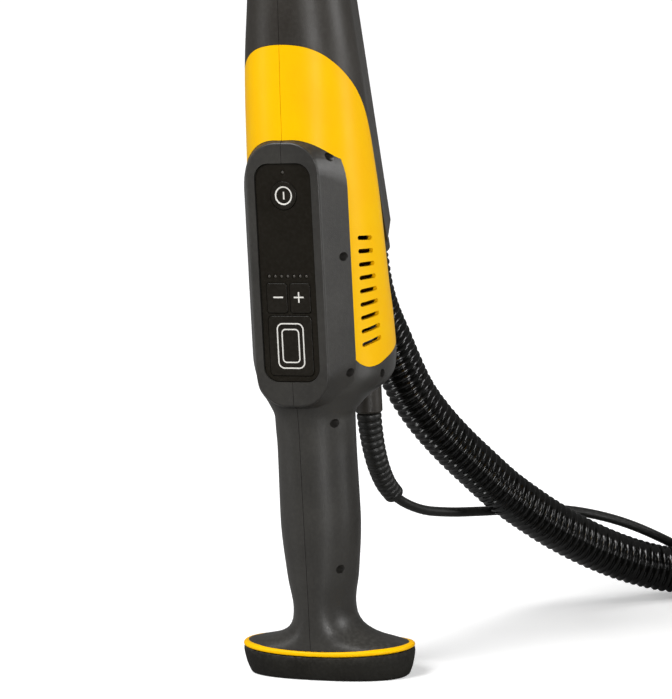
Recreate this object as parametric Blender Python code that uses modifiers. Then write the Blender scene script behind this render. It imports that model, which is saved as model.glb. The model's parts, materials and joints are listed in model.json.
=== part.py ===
"""Long-reach drywall sander: handle, control housing, dust hose, mains lead and sanding head.

The tool stands upright on its rubber end cap. +Z runs up the tool, the control panel faces -Y,
the dust hose and the mains lead leave on the +Y side. Units are metres. The origin is the middle
of the end cap's flat underside.
"""

import math

import bmesh
import bpy
import numpy as np
from mathutils import Matrix, Vector

# Fits
GAP = 0.0003
WALL = 0.0026
KEY_CLEARANCE = 0.0004
RUNNING_CLEARANCE = 0.0004

# End cap and its yellow band
CAP_WIDTH = 0.1246
CAP_DEPTH = 0.0612
CAP_HEIGHT = 0.0168
CAP_SQUARENESS = 2.35
CAP_SIDE = ((0.0, 0.0062), (0.0008, 0.0046), (0.0030, 0.0034), (0.0075, 0.0016), (0.0130, 0.0003))
BAND_HEIGHT = 0.0038
END_SAG = 0.0026

# Grip and control housing, as half widths and as distances from the tool's axis
GRIP_HALF_WIDTH = 0.0272
GRIP_FRONT = -0.0302
GRIP_BACK = 0.0258
GRIP_NECK_HALF_WIDTH = 0.0200
HOUSING_HALF_WIDTH = 0.0456
HOUSING_FRONT = -0.0348
NECK_RADIUS = 0.0220
NECK_HOUSING_HALF_WIDTH = NECK_RADIUS + 0.0055
FRONT_SQUARENESS = 2.10
GRIP_TOP = 0.2500
HOUSING_TOP = 0.5750
COVER_LOW = 0.1900
COVER_HIGH = 0.4450
SPINE_LOW = 0.2850

# Dust tube that runs down the back, and the swivel cuff under it
DUST_TUBE_RADIUS = 0.0198
DUST_TUBE_WALL = 0.0022
DUST_TUBE_TOP = 0.4980
DUST_TUBE_END = (0.0847, 0.3010)
DUST_TUBE_LEAN = 13.9
SPINE_WALL = 0.0020
CUFF_RADIUS = DUST_TUBE_RADIUS - 0.0014
CUFF_LENGTH = 0.0165
CUFF_STANDOFF = 0.0040
CUFF_NECK_RADIUS = 0.0145
CUFF_NECK_LENGTH = 0.0040
CUFF_SPIGOT = 0.0160
CUFF_WALL = 0.0022

# Control panel, its frame and its keys
FRAME_FACE = -0.0362
FRAME_BACK = -0.0160
FRAME_HALF_WIDTH = 0.0274
FRAME_LOW = 0.1900
FRAME_HIGH = 0.3690
FRAME_CORNER = 0.0230
FRAME_DRAFT = 0.61
FRAME_EDGE = 0.0020
PANEL_WIDTH = 2 * FRAME_HALF_WIDTH - 0.0138
PANEL_HEIGHT = FRAME_HIGH - FRAME_LOW - 0.0320
PANEL_CORNER = 0.0100
PANEL_MIDDLE = (FRAME_LOW + FRAME_HIGH) / 2 + 0.0014
PANEL_SUNK = 0.0010
PANEL_THICKNESS = 0.0024
KEY_PROUD = 0.0004
KEY_TRAVEL = 0.0010
KEY_FLANGE = 0.0004
KEY_FLANGE_THICKNESS = 0.0008
KEY_STEM_RADIUS = 0.0020
POWER_KEY_RADIUS = 0.0095
POWER_KEY_HEIGHT = PANEL_MIDDLE + 0.0521
SPEED_KEY_WIDTH = 0.0150
SPEED_KEY_LENGTH = 0.0200
SPEED_KEY_OFFSET = SPEED_KEY_WIDTH / 2 + 0.0011
SPEED_KEY_HEIGHT = PANEL_MIDDLE - 0.0169
START_KEY_WIDTH = PANEL_WIDTH - 0.0090
START_KEY_LENGTH = 0.0405
START_KEY_HEIGHT = SPEED_KEY_HEIGHT - (SPEED_KEY_LENGTH + START_KEY_LENGTH) / 2 - 0.0020
LAMP_COUNT = 7
LAMP_PITCH = 0.0046
LAMP_RADIUS = 0.0011
LAMP_HEIGHT = SPEED_KEY_HEIGHT + SPEED_KEY_LENGTH / 2 + 0.0047
STATUS_LAMP_HEIGHT = POWER_KEY_HEIGHT + POWER_KEY_RADIUS + 0.0060
BOARD_THICKNESS = 0.0016
BOARD_MARGIN = 0.0040

# Vent slots in each side cover
SLOT_COUNT = 9
SLOT_PITCH = 0.00905
SLOT_THICKNESS = 0.0030
SLOT_FIRST_HEIGHT = 0.3012
SLOT_START = -0.0075
SLOT_SHORTEST = 0.0140
SLOT_LONGEST = 0.0200
SLOT_FIRST_TILT = -5.0
SLOT_LAST_TILT = 10.0

# Speed controller and its heat sinks.
CONTROLLER_HEIGHT = 0.0780
CONTROLLER_WIDTH = 0.0440
CONTROLLER_FORWARD = 0.0180
CONTROLLER_BEHIND = 0.0220
SINK_PLATE = 0.0030
FIN_COUNT = 9
FIN_LENGTH = 0.0115
FIN_THICKNESS = 0.0016

# Case screws: (distance from the axis, height) of each, driven in from the right
CASE_SCREWS = (
    (-0.0235, 0.3575), (-0.0210, 0.2903), (-0.0195, 0.2118),
    (0.0115, 0.2070), (-0.0195, 0.1770), (-0.0185, 0.0766),
)
SCREW_RADIUS = 0.0015
SCREW_HEAD_RADIUS = SCREW_RADIUS * 1.8
SCREW_HEAD_HEIGHT = 0.0024
SCREW_SINK = 0.0060
SCREW_REACH = 0.0100
BOSS_RADIUS = SCREW_HEAD_RADIUS + 0.0019

# Mains lead: inlet, strain relief, lead, coil and plug
INLET_RADIUS = 0.0097
INLET_PLACE = 0.0850
INLET_LOW = 0.1765
INLET_HIGH = 0.2150
RELIEF_RADIUS = INLET_RADIUS - 0.0009
RELIEF_END_RADIUS = 0.0068
RELIEF_RIBS = 12
RELIEF_STEP = 0.0022
LEAD_RADIUS = 0.0035
LEAD_COIL_CENTRE = (0.2096, 0.4421)
LEAD_COIL_RADIUS = 0.0420
LEAD_TURN_PITCH = 2 * LEAD_RADIUS + 0.0002
LEAD_COIL_COLUMNS = 3
LEAD_COIL_ROWS = 5
PLUG_TAIL_RADIUS = LEAD_RADIUS + 0.0017
PLUG_TAIL_LENGTH = 0.0400
PLUG_BODY_WIDTH = 0.0320
PLUG_BODY_LENGTH = 0.0420
PLUG_BODY_THICKNESS = 0.0240
PLUG_PIN_RADIUS = 0.0024
PLUG_PIN_LENGTH = 0.0190
PLUG_PIN_PITCH = 0.0190
PLUG_BEARING = 75.0

# Dust hose: free length, coil and end cuff
HOSE_RADIUS = 0.0170
HOSE_COIL_CENTRE = (0.3840, 0.2677)
HOSE_COIL_RADIUS = 0.1750
HOSE_COIL_LEVELS = 3
HOSE_COIL_CLIMB = 215.0
END_CUFF_RADIUS = HOSE_RADIUS + 0.0040
END_CUFF_WALL = 0.0030
END_CUFF_LENGTH = 0.0750
END_CUFF_BEARING = 270.0

# Long neck, clevis and yoke
NECK_PLACE = 0.0100
NECK_WALL = 0.0025
NECK_LOW = HOUSING_TOP - 0.0630
NECK_HIGH = 0.9050
COLLAR_RADIUS = NECK_RADIUS + 0.0052
COLLAR_HEIGHT = 0.0240
CLEVIS_STAND = 0.0250
CLEVIS_HEIGHT = NECK_HIGH + CLEVIS_STAND
CLEVIS_RADIUS = NECK_RADIUS - 0.0040
CLEVIS_LUG = 0.0100
CLEVIS_CAP = 0.0055
PLUG_DEPTH = 0.0250
ROLL_PIN_RADIUS = 0.0040
ROLL_PIN_HEAD = ROLL_PIN_RADIUS + 0.0025
TILT_BOLT_RADIUS = 0.0050
TILT_BOLT_HEAD = TILT_BOLT_RADIUS + 0.0040
MOTOR_HOUSING_RADIUS = 0.0500
YOKE_INNER_RADIUS = MOTOR_HOUSING_RADIUS + 0.0080
YOKE_ARM = 2 * TILT_BOLT_RADIUS + 0.0060
YOKE_DEPTH = CLEVIS_LUG + 0.0170
YOKE_DROP = 0.0140
YOKE_FOOT = 0.0420
PIVOT_HEIGHT = CLEVIS_HEIGHT + YOKE_FOOT + YOKE_ARM + YOKE_INNER_RADIUS + YOKE_DROP
YOKE_RISE = 0.0060
YOKE_EDGE = 0.0018
BOLT_HEAD_HEIGHT = 0.0030

# Sanding head, as distances above the tilt pivot where they are heights
MOTOR_HOUSING_WALL = 0.0030
MOTOR_BOSS_RADIUS = TILT_BOLT_RADIUS + 0.0070
MOTOR_RADIUS = MOTOR_HOUSING_RADIUS - MOTOR_HOUSING_WALL - 0.0070
MOTOR_LENGTH = 0.0420
SHROUD_RISE = 0.0220
SHROUD_RADIUS = 0.1250
SHROUD_HEIGHT = 0.0260
SHROUD_WALL = 0.0030
BRUSH_THICKNESS = 0.0080
BRUSH_LIFT = 0.0045
BRUSH_PROUD = 0.0010
BRUSH_TRAVEL = 0.0030
PAD_CLEARANCE = 0.0030
PAD_RADIUS = SHROUD_RADIUS - SHROUD_WALL - BRUSH_THICKNESS - PAD_CLEARANCE
PAD_THICKNESS = 0.0120
PAD_RISE = SHROUD_RISE + SHROUD_HEIGHT - 0.0080
DISC_THICKNESS = 0.0014
DISC_HOLES = 8
DISC_HOLE_RADIUS = 0.0060
DISC_HOLE_CIRCLE = PAD_RADIUS * 0.65
SHAFT_RADIUS = 0.0060
SHAFT_DEPTH = 0.0200
PAD_CROWN = 0.0040

# Body sections, bottom to top: height, half width, front, widest place, depth behind it,
# and the rounded back's middle and radius
BODY_SECTIONS = (
    (CAP_HEIGHT + BAND_HEIGHT + 2.5 * GAP, 0.0600, -0.0303, 0.0000, 0.0303, 0.0000, 0.0100),
    (0.0232, 0.0545, -0.0303, -0.0004, 0.0298, 0.0000, 0.0100),
    (0.0255, 0.0445, -0.0302, -0.0010, 0.0290, 0.0000, 0.0100),
    (0.0290, 0.0340, -0.0302, -0.0016, 0.0284, 0.0000, 0.0100),
    (0.0340, 0.0255, -0.0301, -0.0022, 0.0276, 0.0000, 0.0100),
    (0.0410, 0.0210, -0.0300, -0.0026, 0.0270, 0.0000, 0.0100),
    (0.0490, GRIP_NECK_HALF_WIDTH, -0.0299, -0.0026, 0.0268, 0.0000, 0.0100),
    (0.0700, 0.0237, -0.0300, -0.0025, 0.0272, 0.0000, 0.0100),
    (0.1100, GRIP_HALF_WIDTH, GRIP_FRONT, -0.0024, GRIP_BACK + 0.0024, 0.0000, 0.0100),
    (0.1600, GRIP_HALF_WIDTH - 0.0006, GRIP_FRONT, -0.0024, GRIP_BACK + 0.0026, 0.0000, 0.0100),
    (0.1730, GRIP_HALF_WIDTH - 0.0002, GRIP_FRONT, -0.0030, GRIP_BACK + 0.0030, 0.0020, 0.0110),
    (0.1810, 0.0272, -0.0306, -0.0030, 0.0286, 0.0080, 0.0120),
    (0.1880, 0.0314, -0.0314, 0.0000, 0.0350, 0.0220, 0.0125),
    (0.1930, 0.0358, -0.0326, 0.0040, 0.0425, 0.0450, 0.0130),
    (0.1965, 0.0400, -0.0334, 0.0080, 0.0500, 0.0700, 0.0150),
    (0.2000, 0.0430, -0.0337, 0.0120, 0.0575, 0.0830, 0.0160),
    (0.2070, 0.0454, -0.0340, 0.0170, 0.0590, 0.0815, 0.0175),
    (0.2220, HOUSING_HALF_WIDTH, -0.0344, 0.0210, 0.0560, 0.0735, 0.0158),
    (0.2440, HOUSING_HALF_WIDTH, HOUSING_FRONT, 0.0215, 0.0500, 0.0600, 0.0145),
    (0.2700, HOUSING_HALF_WIDTH, HOUSING_FRONT, 0.0200, 0.0420, 0.0480, 0.0130),
    (0.3000, HOUSING_HALF_WIDTH - 0.0004, HOUSING_FRONT, 0.0180, 0.0380, 0.0440, 0.0120),
    (0.3300, HOUSING_HALF_WIDTH - 0.0012, HOUSING_FRONT, 0.0160, 0.0350, 0.0380, 0.0120),
    (0.3600, 0.0430, -0.0338, 0.0130, 0.0320, 0.0300, 0.0120),
    (0.4000, 0.0410, -0.0323, 0.0090, 0.0310, 0.0200, 0.0120),
    (0.4300, 0.0386, -0.0304, 0.0062, 0.0300, 0.0150, 0.0120),
    (0.4600, 0.0355, -0.0288, 0.0060, 0.0290, 0.0150, 0.0120),
    (0.4900, 0.0328, -0.0262, 0.0070, 0.0280, 0.0150, 0.0120),
    (0.5300, 0.0300, -0.0220, 0.0085, 0.0275, 0.0150, 0.0120),
    (HOUSING_TOP, NECK_HOUSING_HALF_WIDTH, NECK_PLACE - NECK_HOUSING_HALF_WIDTH, NECK_PLACE,
     NECK_HOUSING_HALF_WIDTH, 0.0150, 0.0120),
)

# Joint lines of the side cover seen from the side, front to back: (y, z)
COVER_UPPER_LINE = (
    (-0.0700, 0.4335), (-0.0304, 0.4335), (-0.0273, 0.4314), (-0.0225, 0.4273), (-0.0151, 0.4197),
    (-0.0057, 0.4096), (0.0036, 0.3985), (0.0095, 0.3893), (0.0145, 0.3788), (0.0205, 0.3620),
    (0.0270, 0.3420), (0.0350, 0.3220), (0.0430, 0.3060), (0.0520, 0.2929),
)
COVER_LOWER_LINE = (
    (-0.0700, 0.2450), (-0.0182, 0.2400), (-0.0170, 0.2310), (-0.0150, 0.2232), (-0.0105, 0.2168),
    (-0.0045, 0.2136), (0.0040, 0.2133), (0.0190, 0.2168), (0.0340, 0.2206), (0.0550, 0.2260),
    (0.1200, 0.2420),
)

# Routes, from the tool outwards
RELIEF_ROUTE = (
    (0.0000, INLET_PLACE, INLET_LOW - GAP), (0.0000, 0.0850, 0.1720), (0.0000, 0.0858, 0.1600),
    (0.0002, 0.0895, 0.1430),
    (0.0004, 0.0970, 0.1260), (0.0010, 0.1070, 0.1125), (0.0020, 0.1160, 0.1045),
)
LEAD_ROUTE = (
    (0.0021, 0.1164, 0.1041), (0.0028, 0.1209, 0.1003), (0.0058, 0.1285, 0.0953),
    (0.0110, 0.1450, 0.0880),
    (0.0200, 0.1690, 0.0822), (0.0330, 0.1980, 0.0778), (0.0540, 0.2340, 0.0735),
    (0.0830, 0.2610, 0.0680), (0.1105, 0.2795, 0.0580), (0.1320, 0.2960, 0.0450),
    (0.1475, 0.3140, 0.0305), (0.1520, 0.3330, 0.0160), (0.1535, 0.3520, 0.0068),
    (0.1552, 0.3730, 0.0039), (0.1565, 0.3950, 0.0037), (0.1565, 0.4145, 0.0037),
    (0.1538, 0.4343, 0.0037),
)
HOSE_ROUTE = (
    (0.0000, 0.0908, 0.2767), (0.0000, 0.0965, 0.2540), (0.0010, 0.1050, 0.2350),
    (0.0040, 0.1155, 0.2150), (0.0070, 0.1245, 0.1960), (0.0120, 0.1350, 0.1740),
    (0.0200, 0.1480, 0.1530), (0.0305, 0.1635, 0.1320), (0.0430, 0.1800, 0.1115),
    (0.0530, 0.1935, 0.0955), (0.0640, 0.2080, 0.0810), (0.0780, 0.2235, 0.0655),
    (0.0920, 0.2380, 0.0525), (0.1080, 0.2540, 0.0400), (0.1260, 0.2710, 0.0290),
    (0.1450, 0.2880, 0.0210), (0.1640, 0.3055, 0.0175), (0.1863, 0.3272, 0.0172),
)

PARTS = "drywall_sander"
MANY_CUTS = ("shell", "cover", "panel")
CUTTERS = "drywall_sander_cutters"
BLACK = (0.045, 0.040, 0.036)
YELLOW = (0.90, 0.55, 0.01)


def clear_scene():
    """Remove what the scene holds and make the two collections."""
    for old in list(bpy.data.objects):
        bpy.data.objects.remove(old, do_unlink=True)
    for name in (PARTS, CUTTERS):
        made = bpy.data.collections.new(name)
        bpy.context.scene.collection.children.link(made)


def material(name, colour, roughness, metallic=0.0):
    """A Principled material, made once for each name."""
    found = bpy.data.materials.get(name)
    if found:
        return found
    made = bpy.data.materials.new(name)
    made.use_nodes = True
    shader = made.node_tree.nodes["Principled BSDF"]
    shader.inputs["Base Color"].default_value = (*colour, 1.0)
    shader.inputs["Roughness"].default_value = roughness
    shader.inputs["Metallic"].default_value = metallic
    made.diffuse_color = (*colour, 1.0)
    return made


def black_plastic():
    return material("black_plastic", BLACK, 0.45)


def yellow_plastic():
    return material("yellow_plastic", YELLOW, 0.35)


def rubber():
    return material("black_rubber", (0.02, 0.02, 0.02), 0.75)


def steel():
    return material("zinc_steel", (0.55, 0.55, 0.56), 0.35, 1.0)


def aluminium():
    return material("aluminium", (0.70, 0.71, 0.72), 0.30, 1.0)


def put_in(obj, collection):
    """Link the object to one collection only."""
    for old in list(obj.users_collection):
        old.objects.unlink(obj)
    bpy.data.collections[collection].objects.link(obj)


def as_part(obj, finish, sharp=32.0):
    """Dress a finished mesh object and file it with the parts."""
    obj.data.materials.clear()
    obj.data.materials.append(finish)
    obj.data.shade_smooth()
    obj.data.set_sharp_from_angle(angle=math.radians(sharp))
    put_in(obj, PARTS)
    return obj


def as_cutter(obj):
    """File a helper with the cutters."""
    obj.hide_render = True
    obj.display_type = "WIRE"
    put_in(obj, CUTTERS)
    return obj


def boolean(obj, other, operation):
    """Add a Boolean with another mesh object. The exact solver leaves cracks in mouldings with many cuts."""
    step = obj.modifiers.new(operation.lower(), "BOOLEAN")
    step.operation = operation
    step.object = as_cutter(other)
    moulded = any(word in obj.name for word in MANY_CUTS)
    step.solver = "MANIFOLD" if moulded else "EXACT"
    return obj


def cut(obj, other):
    return boolean(obj, other, "DIFFERENCE")


def join(obj, other):
    return boolean(obj, other, "UNION")


def keep(obj, other):
    return boolean(obj, other, "INTERSECT")


def bevel(obj, width, segments=2, angle=35.0):
    """Round the object's edges that are sharper than the angle."""
    step = obj.modifiers.new("edge", "BEVEL")
    step.width = width
    step.segments = segments
    step.limit_method = "ANGLE"
    step.angle_limit = math.radians(angle)
    return obj


def mesh_object(name, mesh_builder):
    """A new object whose mesh the function fills in."""
    shape = bmesh.new()
    mesh_builder(shape)
    bmesh.ops.recalc_face_normals(shape, faces=shape.faces)
    data = bpy.data.meshes.new(name)
    shape.to_mesh(data)
    shape.free()
    obj = bpy.data.objects.new(name, data)
    bpy.context.scene.collection.objects.link(obj)
    return obj


def cap_ends(shape, ring, across):
    """Close a ring: with one face, or with strips from point to point across it where it isn't flat."""
    if across is None:
        shape.faces.new(ring)
        return
    low, high = across, len(ring) - 1
    if across:
        shape.faces.new((ring[0], ring[1], ring[-1]))
    while high - low > 2:
        shape.faces.new((ring[low], ring[low + 1], ring[high - 1], ring[high]))
        low, high = low + 1, high - 1
    if high - low == 2:
        shape.faces.new((ring[low], ring[low + 1], ring[high]))


def loft(name, rows, across=None):
    """A closed solid through rows of points with the same count, capped at both ends."""
    def fill(shape):
        rings = [[shape.verts.new(point) for point in row] for row in rows]
        for low, high in zip(rings, rings[1:]):
            for k in range(len(low)):
                after = (k + 1) % len(low)
                shape.faces.new((low[k], low[after], high[after], high[k]))
        cap_ends(shape, rings[0], across)
        cap_ends(shape, rings[-1], across)
    return mesh_object(name, fill)


def box(name, low, high):
    """A box between two corners."""
    middle = (Vector(low) + Vector(high)) / 2
    size = Vector(high) - Vector(low)
    def fill(shape):
        bmesh.ops.create_cube(shape, size=1.0)
        bmesh.ops.scale(shape, vec=size, verts=shape.verts)
        bmesh.ops.translate(shape, vec=middle, verts=shape.verts)
    return mesh_object(name, fill)


def rod(name, start, end, radius, sides=20):
    """A cylinder between two points."""
    start, end = Vector(start), Vector(end)
    along = end - start
    turn = along.to_track_quat("Z", "Y").to_matrix().to_4x4()
    place = Matrix.Translation((start + end) / 2) @ turn
    def fill(shape):
        bmesh.ops.create_cone(shape, cap_ends=True, segments=sides, radius1=radius,
                              radius2=radius, depth=along.length, matrix=place)
    return mesh_object(name, fill)


def turned(name, profile, place, steps=48):
    """A profile of (radius, height) turned about its own Z axis, placed by a matrix.

    The profile runs down the outer side; where it is closed, its first point comes again at the end.
    """
    data = bpy.data.meshes.new(name)
    points = [(radius, 0.0, height) for radius, height in profile]
    data.from_pydata(points, [(k, k + 1) for k in range(len(points) - 1)], [])
    obj = bpy.data.objects.new(name, data)
    bpy.context.scene.collection.objects.link(obj)
    step = obj.modifiers.new("turn", "SCREW")
    step.steps = steps
    step.render_steps = steps
    step.use_merge_vertices = True
    step.merge_threshold = 0.00001
    step.use_smooth_shade = True
    return settled(obj, place)


def settled(obj, place=None):
    """The object's evaluated shape as a plain mesh, so that it can be cut or joined."""
    graph = bpy.context.evaluated_depsgraph_get()
    data = bpy.data.meshes.new_from_object(obj.evaluated_get(graph))
    name = obj.name
    matrix = place if place is not None else obj.matrix_world.copy()
    bpy.data.objects.remove(obj, do_unlink=True)
    shape = bmesh.new()
    shape.from_mesh(data)
    bmesh.ops.remove_doubles(shape, verts=shape.verts, dist=0.000002)
    bmesh.ops.recalc_face_normals(shape, faces=shape.faces)
    shape.to_mesh(data)
    shape.free()
    made = bpy.data.objects.new(name, data)
    made.matrix_world = matrix
    bpy.context.scene.collection.objects.link(made)
    return made


def plate(name, outline, near, far, axis="Y"):
    """A flat outline made thick along one axis. Along Y it is drawn in X and Z, along X in Y and Z."""
    curve = bpy.data.curves.new(name, "CURVE")
    curve.dimensions = "2D"
    curve.fill_mode = "BOTH"
    curve.extrude = abs(far - near) / 2
    spline = curve.splines.new("POLY")
    spline.points.add(len(outline) - 1)
    for point, (across, up) in zip(spline.points, outline):
        point.co = (across, up, 0.0, 1.0)
    spline.use_cyclic_u = True
    obj = bpy.data.objects.new(name, curve)
    bpy.context.scene.collection.objects.link(obj)
    middle = (near + far) / 2
    if axis == "Y":
        turn = Matrix(((1, 0, 0, 0), (0, 0, -1, middle), (0, 1, 0, 0), (0, 0, 0, 1)))
    else:
        turn = Matrix(((0, 0, 1, middle), (1, 0, 0, 0), (0, 1, 0, 0), (0, 0, 0, 1)))
    return baked(settled(obj, Matrix.Identity(4)), turn)


def baked(obj, matrix):
    """Move the mesh itself by the matrix."""
    obj.data.transform(matrix)
    if matrix.determinant() < 0:
        obj.data.flip_normals()
    return obj


def hinged(obj, place):
    """Put the object's origin on its joint, leaving its shape where it is."""
    shift = Vector(place)
    obj.data.transform(obj.matrix_world)
    obj.data.transform(Matrix.Translation(-shift))
    obj.matrix_world = Matrix.Translation(shift)
    return obj


def ellipse_arc(centre, radius, start, end, steps):
    """Points of an arc, both ends included, angles in degrees."""
    points = []
    for k in range(steps + 1):
        angle = math.radians(start + (end - start) * k / steps)
        points.append((centre[0] + radius * math.cos(angle), centre[1] + radius * math.sin(angle)))
    return points


def rounded_outline(width, height, corner, middle=(0.0, 0.0), steps=4):
    """A rectangle with round corners, anticlockwise."""
    x, z = width / 2 - corner, height / 2 - corner
    points = []
    for sign_x, sign_z, start in ((1, 1, 0), (-1, 1, 90), (-1, -1, 180), (1, -1, 270)):
        centre = (middle[0] + sign_x * x, middle[1] + sign_z * z)
        points += ellipse_arc(centre, corner, start, start + 90, steps)
    return points


def smooth_column(heights, values, height):
    """Cubic through the values that never swings past them."""
    steps = np.diff(heights)
    slopes = np.diff(values) / steps
    ends = np.zeros(len(values))
    for k in range(1, len(values) - 1):
        before, after = slopes[k - 1], slopes[k]
        if before * after > 0:
            ends[k] = 2 * before * after / (before + after)
    ends[0], ends[-1] = slopes[0], slopes[-1]
    k = int(np.clip(np.searchsorted(heights, height) - 1, 0, len(steps) - 1))
    t = (height - heights[k]) / steps[k]
    return float(
        (1 + 2 * t) * (1 - t) ** 2 * values[k] + t * (1 - t) ** 2 * steps[k] * ends[k]
        + t * t * (3 - 2 * t) * values[k + 1] - t * t * (1 - t) * steps[k] * ends[k + 1]
    )


def section_at(height):
    """Half width, front, widest place, depth behind it, back middle and back radius."""
    table = np.array(BODY_SECTIONS)
    return [smooth_column(table[:, 0], table[:, k], height) for k in range(1, 7)]


def tube_place(height):
    """How far back the dust tube's axis lies at a height."""
    end_y, end_z = DUST_TUBE_END
    return end_y - (height - end_z) * math.tan(math.radians(DUST_TUBE_LEAN))


def farthest_point(normal, half_width, widest, depth, squareness):
    """The point of a squared ellipse that lies farthest along the normal."""
    power = squareness / (squareness - 1)
    a, b = half_width * abs(normal[0]), depth * abs(normal[1])
    reach = (a ** power + b ** power) ** (1 / squareness)
    x = half_width * math.copysign(a ** (power - 1), normal[0]) / reach
    y = depth * math.copysign(b ** (power - 1), normal[1]) / reach
    return Vector((x, y + widest))


def half_outline(height, inset, count, with_spine=False):
    """Right half of the body's section, front to back, as (x, y) at x above 0."""
    half_width, front, widest, depth, back_middle, back_radius = section_at(height)
    points = []
    for k in range(count + 1):
        angle = math.radians(-90 + 180 * k / count)
        normal = Vector((max(math.cos(angle), 0.0), math.sin(angle)))
        reach = widest - front if normal.y < 0 else depth
        squareness = FRONT_SQUARENESS if normal.y < 0 else 2.0
        found = [farthest_point(normal, half_width - inset, widest, reach - inset, squareness)]
        found.append(Vector((0.0, back_middle)) + normal * (back_radius - inset))
        if with_spine:
            outer = DUST_TUBE_RADIUS + GAP + SPINE_WALL
            found.append(Vector((0.0, tube_place(height))) + normal * (outer - inset))
        points.append(max(found, key=lambda point: point.dot(normal)))
    return points


def row_heights(low, high, step):
    """The section heights between two limits, with more where they lie far apart."""
    marks = [low] + [row[0] for row in BODY_SECTIONS if low + 0.001 < row[0] < high - 0.001] + [high]
    heights = []
    for near, far in zip(marks, marks[1:]):
        parts = max(1, round((far - near) / step))
        heights += [near + (far - near) * k / parts for k in range(parts)]
    return heights + [high]


def end_sag(x, height):
    """Lift of the flared end towards its sides, which dies out up the grip."""
    fade = max(0.0, 1.0 - (height - CAP_HEIGHT) / 0.012) if height > CAP_HEIGHT else height / CAP_HEIGHT
    return END_SAG * min(1.0, (x / (CAP_WIDTH / 2)) ** 2) * fade


def half_body(name, side, low, high, step, with_spine=False, count=12):
    """Right or left half of the body, from one height to another, flat at the joint plane."""
    rows = []
    for height in row_heights(low, high, step):
        outline = half_outline(height, 0.0, count, with_spine)
        rows.append([
            (side * max(point.x, GAP / 2), point.y, height + end_sag(point.x, height))
            for point in outline
        ])
    return loft(name, rows, across=0)


def hollow(name, inset, low, high, step, with_spine=False, count=7):
    """The space inside the body, both halves, as a cutter."""
    rows = []
    for height in row_heights(low, high, step):
        half = half_outline(height, inset, count, with_spine)
        row = [(point.x, point.y, height) for point in half]
        row += [(-point.x, point.y, height) for point in reversed(half[1:-1])]
        rows.append(row)
    return loft(name, rows)


def surface_x(y, height):
    """Half width of the body at a place on its side."""
    outline = half_outline(height, 0.0, 48)
    return float(np.interp(y, [point.y for point in outline], [point.x for point in outline]))


def side_region(name, line, above):
    """A thick sheet that holds everything above, or below, a line seen from the side."""
    shift = GAP / 2 if above else -GAP / 2
    points = [(y, z + shift) for y, z in line]
    last = 0.70 if above else 0.0
    points += [(line[-1][0], last), (line[0][0], last)]
    if not above:
        points = points[::-1]
    return plate(name, points, -0.10, 0.10, "X")


def upper_line():
    """The cover's upper joint line, carried on square across the end of the dust tube."""
    end_y, end_z = DUST_TUBE_END
    square = math.tan(math.radians(DUST_TUBE_LEAN))
    far_y = end_y + 0.040
    return COVER_UPPER_LINE + ((far_y, end_z + (far_y - end_y) * square),)


def frame_block(name, grow):
    """The raised, drafted arch round the control panel."""
    rows = []
    middle = (0.0, (FRAME_LOW + FRAME_HIGH) / 2)
    depths = (FRAME_FACE - grow, FRAME_FACE + FRAME_EDGE * 0.3, FRAME_FACE + FRAME_EDGE, FRAME_BACK + grow)
    backs = (-FRAME_EDGE, -FRAME_EDGE * 0.3, 0.0, (FRAME_BACK - FRAME_FACE - FRAME_EDGE) * FRAME_DRAFT)
    for depth, spread in zip(depths, backs):
        spread += grow
        outline = rounded_outline(
            2 * (FRAME_HALF_WIDTH + spread), FRAME_HIGH - FRAME_LOW + 2 * spread,
            FRAME_CORNER + spread, middle, 4)
        rows.append([(x, depth, z) for x, z in outline])
    return loft(name, rows)


def screw_seat(place):
    """Where under the surface the head of a case screw sits."""
    y, height = place
    return max(surface_x(y, height) - SCREW_SINK - SCREW_HEAD_HEIGHT, 0.006)


def case_hollow(name, low, high, step):
    """The hollow of the grip and control housing, less the screw bosses and the panel's seat."""
    space = hollow(name, WALL, low, high, step)
    for k, (y, height) in enumerate(CASE_SCREWS):
        boss = rod(f"{name}_boss_{k + 1}", (-0.06, y, height), (0.06, y, height), BOSS_RADIUS, 12)
        cut(space, boss)
    ledge = panel_face() + PANEL_THICKNESS + GAP
    seat = box(f"{name}_panel_seat",
               (-PANEL_WIDTH / 2 - WALL, FRAME_FACE, PANEL_MIDDLE - PANEL_HEIGHT / 2 - WALL),
               (PANEL_WIDTH / 2 + WALL, ledge + WALL, PANEL_MIDDLE + PANEL_HEIGHT / 2 + WALL))
    return cut(space, seat)


def panel_face():
    """Front of the control panel."""
    return FRAME_FACE + PANEL_SUNK


def board_front():
    """Front of the circuit board behind the panel's seat."""
    return panel_face() + PANEL_THICKNESS + GAP + WALL + GAP


def board_box(name, grow):
    """The circuit board's outline, grown all round."""
    half_width = PANEL_WIDTH / 2 - GAP + grow
    half_height = PANEL_HEIGHT / 2 - BOARD_MARGIN + grow
    front = board_front()
    return box(name, (-half_width, front - grow, PANEL_MIDDLE - half_height),
               (half_width, front + BOARD_THICKNESS + grow, PANEL_MIDDLE + half_height))


def drill_case_screws(obj, side, places):
    """Pilot holes from the joint plane, and on the right the holes that take the heads."""
    for k in places:
        y, height = CASE_SCREWS[k]
        seat = screw_seat(CASE_SCREWS[k])
        clearance = SCREW_RADIUS + GAP
        if side > 0:
            cut(obj, rod(f"{obj.name}_hole_{k + 1}", (-0.001, y, height), (0.07, y, height), clearance, 8))
            cut(obj, rod(f"{obj.name}_sink_{k + 1}", (seat, y, height), (0.07, y, height),
                         SCREW_HEAD_RADIUS + GAP, 12))
        else:
            cut(obj, rod(f"{obj.name}_pilot_{k + 1}", (0.001, y, height),
                         (-SCREW_REACH - 0.001, y, height), clearance, 8))


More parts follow.
